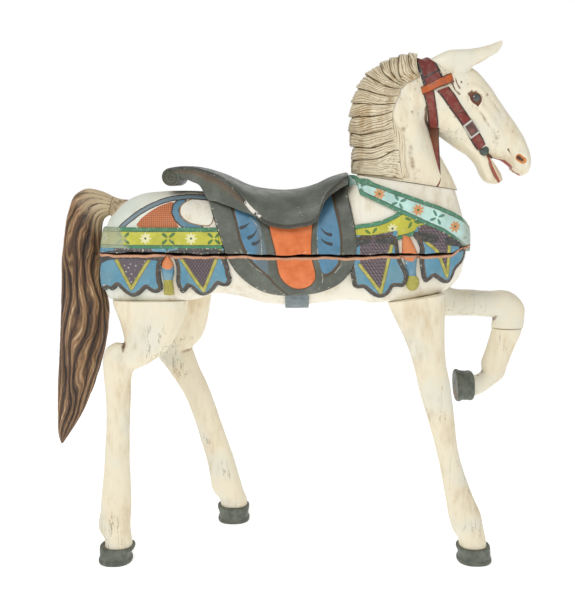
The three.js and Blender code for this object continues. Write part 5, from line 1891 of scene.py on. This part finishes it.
def earFinish():
    made = Finish("earPaint")
    cool = made.mix(made.step(made.noise(80, 3, 0.5), 0.42, 0.65), colour(232, 223, 198),
                    colour(222, 219, 202))
    grain = made.noise(7, 4, 0.6, made.stretch(0.25, 1, 0.5))
    tan = made.mix(grain, colour(176, 140, 92), colour(226, 206, 168))
    paint = made.mix(made.step(made.field("hollow"), 0.25, 0.7, 0, 0.75), cool, tan)
    paint = weather(made, paint, stain=0.85, dirt=0.45)
    return made.finish(paint, roughnessOf(made, 0.5), woodRelief(made), 0.35, 1.1)


earPaint = earFinish()
for side in (-1, 1):
    settle(makeEar(side), earPaint, "cream_paint")


def makeEye(side):
    x, z, radius = headShape["eyeball"]
    hit = headTree.ray_cast(Vector((x, side * 200, z)), Vector((0, -side, 0)))[0]
    surface = abs(hit.y)
    rings, rows = [], []
    for t in np.linspace(0, 1, 26):
        tilt = t * math.pi * 0.5
        angle = np.linspace(0, 2 * math.pi, 56, endpoint=False)
        r = radius * math.sin(tilt)
        y = surface - 5.0 + 8.5 * math.cos(tilt)
        rings.append(np.stack([x + r * np.cos(angle), side * y + 0 * angle, z + r * 0.94 * np.sin(angle)],
                              axis=1))
        rows.append(t)
    rings[0] = rings[0] * 0 + [x, side * (surface + 3.5), z]
    grid = np.array(rings)[1:]
    points = np.vstack([grid.reshape(-1, 3), [[x, side * (surface + 3.5), z]]])
    faces = gridFaces(len(grid), 56, closed=True)
    faces += [[len(points) - 1, (k + 1) % 56, k] for k in range(56)]
    piece = makePiece("eye" + ("Right" if side < 0 else "Left"), points, faces)
    addField(piece, "out", np.append(np.repeat(rows[1:], 56), 0))
    return piece


def eyeFinish():
    made = Finish("eyePaint")
    out = made.field("out")
    paint = made.mix(made.step(out, 0.50, 0.60), colour(58, 62, 62), colour(24, 24, 26))
    paint = made.mix(made.step(made.noise(6, 3, 0.6), 0.4, 0.7, 0, 0.4), paint, colour(92, 94, 92))
    paint = made.mix(made.step(out, 0.80, 0.88), paint, colour(96, 42, 32))
    made.shader.inputs["Coat Weight"].default_value = 0.9
    made.shader.inputs["Coat Roughness"].default_value = 0.06
    rough = made.step(made.noise(6, 3, 0.5), 0.3, 0.7, 0.12, 0.24)
    return made.finish(paint, rough, made.noise(8, 3, 0.6), 0.08, 0.4)


eyePaint = eyeFinish()
for side in (-1, 1):
    settle(makeEye(side), eyePaint, "cream_paint")


def makeTeeth():
    # worn blocks of teeth along both jaws
    points, faces = [], []
    rows = [([(500, 1038), (510, 1017), (521, 996), (529, 984)], 9, 15, (1, 0.5)),
            ([(578, 1003), (569, 1006), (560, 1013)], 5, 14, (-0.4, -1))]
    for line, count, half, (nx, nz) in rows:
        spots = evenly(np.array(line, float), count, 2)
        tangent = np.gradient(spots, axis=0)
        tangent /= np.linalg.norm(tangent, axis=1)[:, None]
        for spot, way in zip(spots, tangent):
            for y in (-half, half):
                block = []
                for a in (-1, 1):
                    for b in (-1, 1):
                        for c in (-1, 1):
                            x = spot[0] + way[0] * 2.1 * a + nx * 2.4 * c
                            z = spot[1] + way[1] * 2.1 * a + nz * 2.4 * c
                            block.append((x, y + b * 3.4, z))
                start = len(points)
                points += block
                faces += [[start + k for k in face] for face in ([0, 1, 3, 2], [4, 6, 7, 5], [0, 4, 5, 1],
                                                                 [2, 3, 7, 6],
                                                                 [0, 2, 6, 4], [1, 5, 7, 3])]
    piece = makePiece("teeth", points, faces)
    bevel = piece.modifiers.new("worn", "BEVEL")
    bevel.width = 1.1 * mm
    bevel.segments = 3
    graph = bpy.context.evaluated_depsgraph_get()
    made = bpy.data.meshes.new_from_object(piece.evaluated_get(graph))
    piece.modifiers.clear()
    piece.data = made
    addGrime(piece, 3, 0.5)
    return piece


settle(makeTeeth(), earPaint, "cream_paint")
print("face ready")


# bridle: straps, buckles, keepers and bit discs

bridleShape = {
    # each station: x and z of the strap's middle, lean in degrees from straight up,
    # width direction x and z, half width
    "crown": [(343, 1227, -90, 0.87, 0.49, 26), (335, 1226, -66, 0.92, 0.40, 25),
              (326, 1225, -40, 0.97, 0.25, 23),
              (318, 1225, -15, 0.99, 0.12, 19), (316, 1225, 0, 0.99, 0.1, 18)],
    "throat": [(331, 1202, -90, 0.98, 0.15, 13.5), (338, 1172, -90, 0.98, 0.1, 12),
               (344, 1148, -96, 0.98, 0.1, 11.5),
               (349, 1134, -118, 0.97, 0.2, 12), (352, 1130, -145, 0.93, 0.35, 13),
               (353, 1130, -180, 0.9, 0.42, 13)],
    "brow": [(314, 1205, -90, -0.28, 0.96, 10), (332, 1213, -90, -0.3, 0.95, 11),
             (352, 1223, -90, -0.34, 0.94, 11),
             (372, 1231, -90, -0.3, 0.95, 12), (390, 1238, -90, -0.25, 0.96, 12.5)],
    "cheek": [(365, 1210, -90, 0.95, 0.33, 15.5), (381, 1190, -90, 0.95, 0.3, 15.5),
              (397, 1166, -90, 0.91, 0.41, 14.5),
              (414, 1144, -90, 0.9, 0.43, 13.8), (432, 1121, -90, 0.88, 0.48, 13.8),
              (448, 1098, -90, 0.83, 0.55, 14.2),
              (464, 1076, -90, 0.75, 0.66, 13.5), (472, 1066, -90, 0.72, 0.69, 12)],
    "buckle": [(428, 1128, -90, 0.79, 0.61, 14), (440, 1111, -90, 0.79, 0.61, 15),
               (452, 1095, -90, 0.79, 0.61, 14)],
    "keeper": [(396, 1143, -90, 0.2, 0.98, 4), (402, 1152, -90, 0.1, 1, 4), (411, 1155, -90, 0, 1, 4),
               (420, 1150, -90, -0.2, 0.98, 4), (425, 1142, -90, -0.4, 0.9, 4)],
    "relief": {"crown": 6, "throat": 5, "brow": 8, "cheek": 5, "buckle": 9, "keeper": 8},
    "disc": (479, 1059, 12.5),
}


def bridleStrap(kind, side, count=96, across=18, sink=3.0):
    rows = evenly(np.array(bridleShape[kind], float), count, 2)
    relief = bridleShape["relief"][kind]
    rings, tags = [], []
    for number, (x, z, lean, wx, wz, half) in enumerate(rows):
        lean = math.radians(lean)
        out = Vector((0, side * -math.sin(lean), math.cos(lean)))
        ring, tag = [], []
        along = number / (count - 1)
        endSoft = min(1, min(along, 1 - along) * 18 + 0.35) if kind in ("buckle", "keeper", "brow") else 1
        last = None
        for v in np.linspace(-1, 1, across):
            heart = Vector((x + v * half * wx, 0, z + v * half * wz))
            hit = headTree.ray_cast(heart + out * 220, -out)[0]
            reach = (hit - heart).dot(out) if hit else (last if last is not None else 40)
            last = reach
            edge = 1 - abs(v) ** 6
            ring.append(heart + out * (reach + relief * (0.42 + 0.58 * edge) * endSoft))
            tag.append((v, along))
        back = [(ring[k] - out * (relief + sink)) for k in range(across - 1, -1, -1)]
        rings.append([list(point) for point in ring + back])
        tags.append(tag + tag[::-1])
    points, faces = tubeParts(np.array(rings))
    title = kind if kind in ("buckle", "keeper") else kind + "Strap"
    piece = makePiece(title + ("Right" if side < 0 else "Left"), points, faces)
    tags = np.array(tags).reshape(-1, 2)
    addField(piece, "across", np.append(np.abs(tags[:, 0]), [0.9, 0.9]))
    addField(piece, "along", np.append(tags[:, 1], [0, 1]))
    points = pointsOf(piece)
    placePoints(piece, points + normalsOf(piece) * (softNoise(points, 12, 71, 2) * 0.45)[:, None])
    addGrime(piece, 5, 0.8)
    return piece


bridleColours = {
    "crown": (colour(112, 38, 32), colour(54, 50, 52)),
    "throat": (colour(126, 44, 34), colour(58, 44, 42)),
    "cheek": (colour(122, 44, 34), colour(62, 48, 46)),
    "brow": (colour(188, 92, 34), colour(96, 48, 30)),
    "keeper": (colour(96, 36, 30), colour(52, 34, 32)),
    "buckle": (colour(84, 60, 52), colour(196, 198, 190)),
}


def bridleFinish(kind):
    middle, edge = bridleColours[kind]
    made = Finish(kind + "Paint")
    wobble = made.calc("MULTIPLY_ADD", made.noise(7, 3, 0.5), 0.16, -0.08)
    worn = made.step(made.noise(16, 4, 0.65), 0.46, 0.66, 0, 0.75)
    lighter = made.mix(made.noise(5, 3, 0.6), colour(150, 78, 58), colour(118, 92, 84))
    paint = made.mix(worn, middle, lighter)
    rim = made.calc("ADD", made.field("across"), wobble)
    if kind == "buckle":
        ends = made.calc("ABSOLUTE", made.calc("SUBTRACT", made.field("along"), 0.5))
        rim = made.calc("MAXIMUM", rim, made.calc("MULTIPLY", ends, 2.0))
    paint = made.mix(made.step(rim, 0.70, 0.80), paint, edge)
    if kind == "crown":
        cross = made.calc("ABSOLUTE", made.calc("SUBTRACT", made.field("along"), 0.24))
        paint = made.mix(made.step(cross, 0.035, 0.02), paint, edge)
    paint = weather(made, paint, stain=0.5, chips=0.5, dirt=0.5)
    return made.finish(paint, roughnessOf(made, 0.5), woodRelief(made), 0.35, 1.0)


for kind in bridleColours:
    paint = bridleFinish(kind)
    for side in (-1, 1):
        settle(bridleStrap(kind, side), paint, "painted_body")


def makeDisc(side):
    x, z, radius = bridleShape["disc"]
    hit = headTree.ray_cast(Vector((x, side * 200, z)), Vector((0, -side, 0)))[0]
    surface = abs(hit.y) if hit else 38
    profile = [(0, 9.5), (5, 9.0), (8, 7.6), (9.2, 7.0), (10.4, 7.8), (11.8, 6.8), (12.5, 4.6), (12.5, -8),
               (0, -8)]
    rows = evenly(np.array(profile, float), 60, 2)
    angle = np.linspace(0, 2 * math.pi, 48, endpoint=False)
    rings = []
    for r, h in rows[1:-1]:
        r = r * radius / 12.5
        rings.append(np.stack([x + r * np.cos(angle), side * (surface + h) + 0 * angle,
                               z + r * np.sin(angle)], axis=1))
    piece = makePiece("bitDisc" + ("Right" if side < 0 else "Left"), *tubeParts(np.array(rings)))
    addGrime(piece, 5, 0.8)
    return piece


def discFinish():
    made = Finish("bitPaint")
    paint = made.mix(made.step(made.noise(9, 3, 0.6), 0.35, 0.65), colour(52, 58, 54), colour(84, 92, 84))
    paint = weather(made, paint, stain=0.5, chips=0.6, dirt=0.6)
    return made.finish(paint, roughnessOf(made, 0.48), woodRelief(made), 0.35, 1.0)


bitPaint = discFinish()
for side in (-1, 1):
    settle(makeDisc(side), bitPaint, "painted_body")
print("bridle ready")


# mane: locks that sweep from the side of the neck over its crest

maneShape = {
    "lines": [  # the furrows between locks, from the neck to the crest
        [(308, 1240), (303, 1262), (302, 1284), (308, 1300)],
        [(304, 1238), (284, 1262), (281, 1282), (284, 1298)],
        [(276, 1225), (260, 1236), (254, 1262), (259, 1292)],
        [(272, 1221), (250, 1233), (236, 1256), (237, 1285)],
        [(269, 1217), (246, 1226), (222, 1244), (214, 1272)],
        [(261, 1211), (235, 1213), (206, 1227), (181, 1247)],
        [(256, 1194), (232, 1192), (195, 1201), (162, 1215)],
        [(247, 1174), (223, 1172), (180, 1174), (150, 1179)],
        [(240, 1154), (224, 1149), (191, 1143), (146, 1144)],
        [(242, 1114), (202, 1103), (168, 1097), (147, 1103)],
        [(250, 1084), (231, 1079), (196, 1065), (152, 1068)],
        [(255, 1060), (242, 1056), (208, 1039), (155, 1035)],
        [(266, 986), (225, 992), (186, 997), (156, 1000)],
    ],
    "bulge": 13.0,
    "strandWidth": 6.4,
    "strandHeight": 1.1,
}


def lockGrid(upper, lower, number, count=80, across=34):
    high = evenly(np.array(upper, float), count, 2)
    low = evenly(np.array(lower, float), count, 2)
    v = np.linspace(0, 1, across)[None, :]
    u = np.linspace(0, 1, count)[:, None]
    sweep = high[:, None, :] * (1 - v)[:, :, None] + low[:, None, :] * v[:, :, None]
    width = np.linalg.norm(high - low, axis=1).max()
    sweep[:, :, 1] -= 5.0 * np.clip((u - 0.72) / 0.28, 0, 1) ** 2 * np.sin(math.pi * v)
    tips = sweep[-1] - sweep[-12]
    tips /= np.linalg.norm(tips, axis=1)[:, None]
    rootHit = headTree.ray_cast(Vector((sweep[0, across // 2, 0], -220, sweep[0, across // 2, 1])),
                                Vector((0, 1, 0)))[0]
    reach = abs(rootHit.y) + 1.5
    depth = reach * (1 - u ** 2.3).clip(0) ** 0.55 - 2.5 * u ** 8 + 0 * v
    for i in range(count):
        for j in range(across):
            hit = headTree.ray_cast(Vector((sweep[i, j, 0], -220, sweep[i, j, 1])), Vector((0, 1, 0)))[0]
            if hit is not None:
                depth[i, j] = max(depth[i, j], abs(hit.y) + 1.5)
    for _ in range(4):
        depth[1:-1] = (depth[:-2] + depth[1:-1] * 2 + depth[2:]) / 4
    turn = math.pi / 2 * u ** 2.2
    outward = np.stack([np.sin(turn) * tips[None, :, 0], -np.cos(turn) + 0 * v,
                        np.sin(turn) * tips[None, :, 1]], axis=2)
    strands = max(4, round(width / maneShape["strandWidth"]))
    spots = np.stack([u * 60 + 0 * v, v * width + 0 * u, 0 * u * v + number * 37], axis=2).reshape(-1, 3)
    drift = softNoise(spots, (26, 9, 10), 81, 2).reshape(count, across)
    sway = 0.5 * np.sin(4.6 * u + number * 1.7)
    wave = v ** 0.86 * strands + sway + 0.22 * np.sin(11 * u + number) + 0.75 * drift
    ridge = np.cos(2 * math.pi * wave)
    lift = maneShape["bulge"] * 1.45 * v ** 0.5 * (1 - v).clip(0) ** 0.24 * (0.25 + 0.75 * easeIn(u, 0,
                                                                                                  0.3))
    deep = 0.75 + 0.25 * np.sin(2 * math.pi * wave / 3 + number)
    height = lift + maneShape["strandHeight"] * ridge * deep * easeIn(u, 0, 0.12)
    base = np.stack([sweep[:, :, 0], -depth, sweep[:, :, 1]], axis=2)
    outer = base + outward * height[:, :, None]
    inner = base[:, ::-5] - outward[:, ::-5] * 7.0
    edge = np.clip(np.minimum(v, 1 - v) / 0.1, 0, 1) + 0 * u
    field = np.concatenate([(ridge * 0.5 + 0.5) * edge, np.zeros((count, inner.shape[1]))], axis=1)
    return np.concatenate([outer, inner], axis=1), field


def makeMane(side):
    points, faces, strandField = [], [], []
    lines = maneShape["lines"] if side < 0 else maneShape["lines"][::2]
    for number, (upper, lower) in enumerate(zip(lines[:-1], lines[1:])):
        grid, field = lockGrid(upper, lower, number)
        if side > 0:
            grid = grid * [1, -1, 1]
        lockPoints, lockFaces = tubeParts(grid)
        start = sum(len(part) for part in points)
        points.append(np.asarray(lockPoints, float))
        faces += [[start + index for index in face] for face in lockFaces]
        strandField.append(np.append(field.ravel(), [0, 0]))
    mane = makePiece("mane" + ("Right" if side < 0 else "Left"), np.vstack(points), faces)
    addField(mane, "strand", np.concatenate(strandField))
    addGrime(mane, 5, 0.9)
    return mane


def makeEdgeStrands(side):
    # the hair's roots, lying down the neck along the inner edge of the mane
    points, faces, strandField = [], [], []
    for number in range(5):
        shift = number * 5.0
        path = np.array([(237 + shift * 0.7, 1146 - shift * 1.2), (243 + shift * 0.8, 1112),
                         (247 + shift, 1080), (249 + shift, 1048),
                         (252 + shift, 1018), (258 + shift, 992)], float)
        spots = evenly(path, 110, 2)
        spots[:, 0] += 1.6 * np.sin(spots[:, 1] / 15 + number * 1.3)
        rings = []
        for k, (x, z) in enumerate(spots):
            t = k / 109
            hit = headTree.ray_cast(Vector((x, -220, z)), Vector((0, 1, 0)))[0]
            y = abs(hit.y) if hit is not None else 60
            half = (1.0 + 3.0 * math.sin(math.pi * min(1, t * 1.5) / 2)) * (1 if t < 0.98 else 0.8)
            angle = np.linspace(0, 2 * math.pi, 14, endpoint=False)
            rings.append(np.stack([x + half * np.cos(angle), side * (y + 0.6 + half * 1.1 * np.sin(angle)),
                                   z + 0 * angle], axis=1))
        strandPoints, strandFaces = tubeParts(np.array(rings))
        start = sum(len(part) for part in points)
        points.append(np.asarray(strandPoints, float))
        faces += [[start + index for index in face] for face in strandFaces]
        angle = np.linspace(0, 2 * math.pi, 14, endpoint=False)
        strandField.append(np.append(np.tile(np.sin(angle).clip(0), 110), [0, 0]))
    piece = makePiece("maneRoots" + ("Right" if side < 0 else "Left"), np.vstack(points), faces)
    addField(piece, "strand", np.concatenate(strandField))
    addGrime(piece, 4, 0.8)
    return piece


def maneFinish():
    made = Finish("manePaint")
    strand = made.field("strand")
    cream = made.mix(made.step(made.noise(60, 3, 0.5), 0.4, 0.7), colour(226, 215, 186),
                     colour(206, 192, 160))
    low = made.mix(made.noise(11, 3, 0.6), colour(104, 84, 60), colour(150, 128, 98))
    paint = made.mix(made.step(strand, 0.0, 0.34, 0.1, 1), low, cream)
    streak = made.noise(3.2, 3, 0.6)
    paint = made.mix(made.step(streak, 0.55, 0.75, 0, 0.5), paint, colour(128, 106, 78))
    paint = weather(made, paint, stain=0.7, dirt=0.9)
    return made.finish(paint, roughnessOf(made, 0.55), woodRelief(made), 0.4, 1.1)


manePaint = maneFinish()
for side in (-1, 1):
    settle(makeMane(side), manePaint, "cream_paint")
    settle(makeEdgeStrands(side), manePaint, "cream_paint")
print("mane ready")
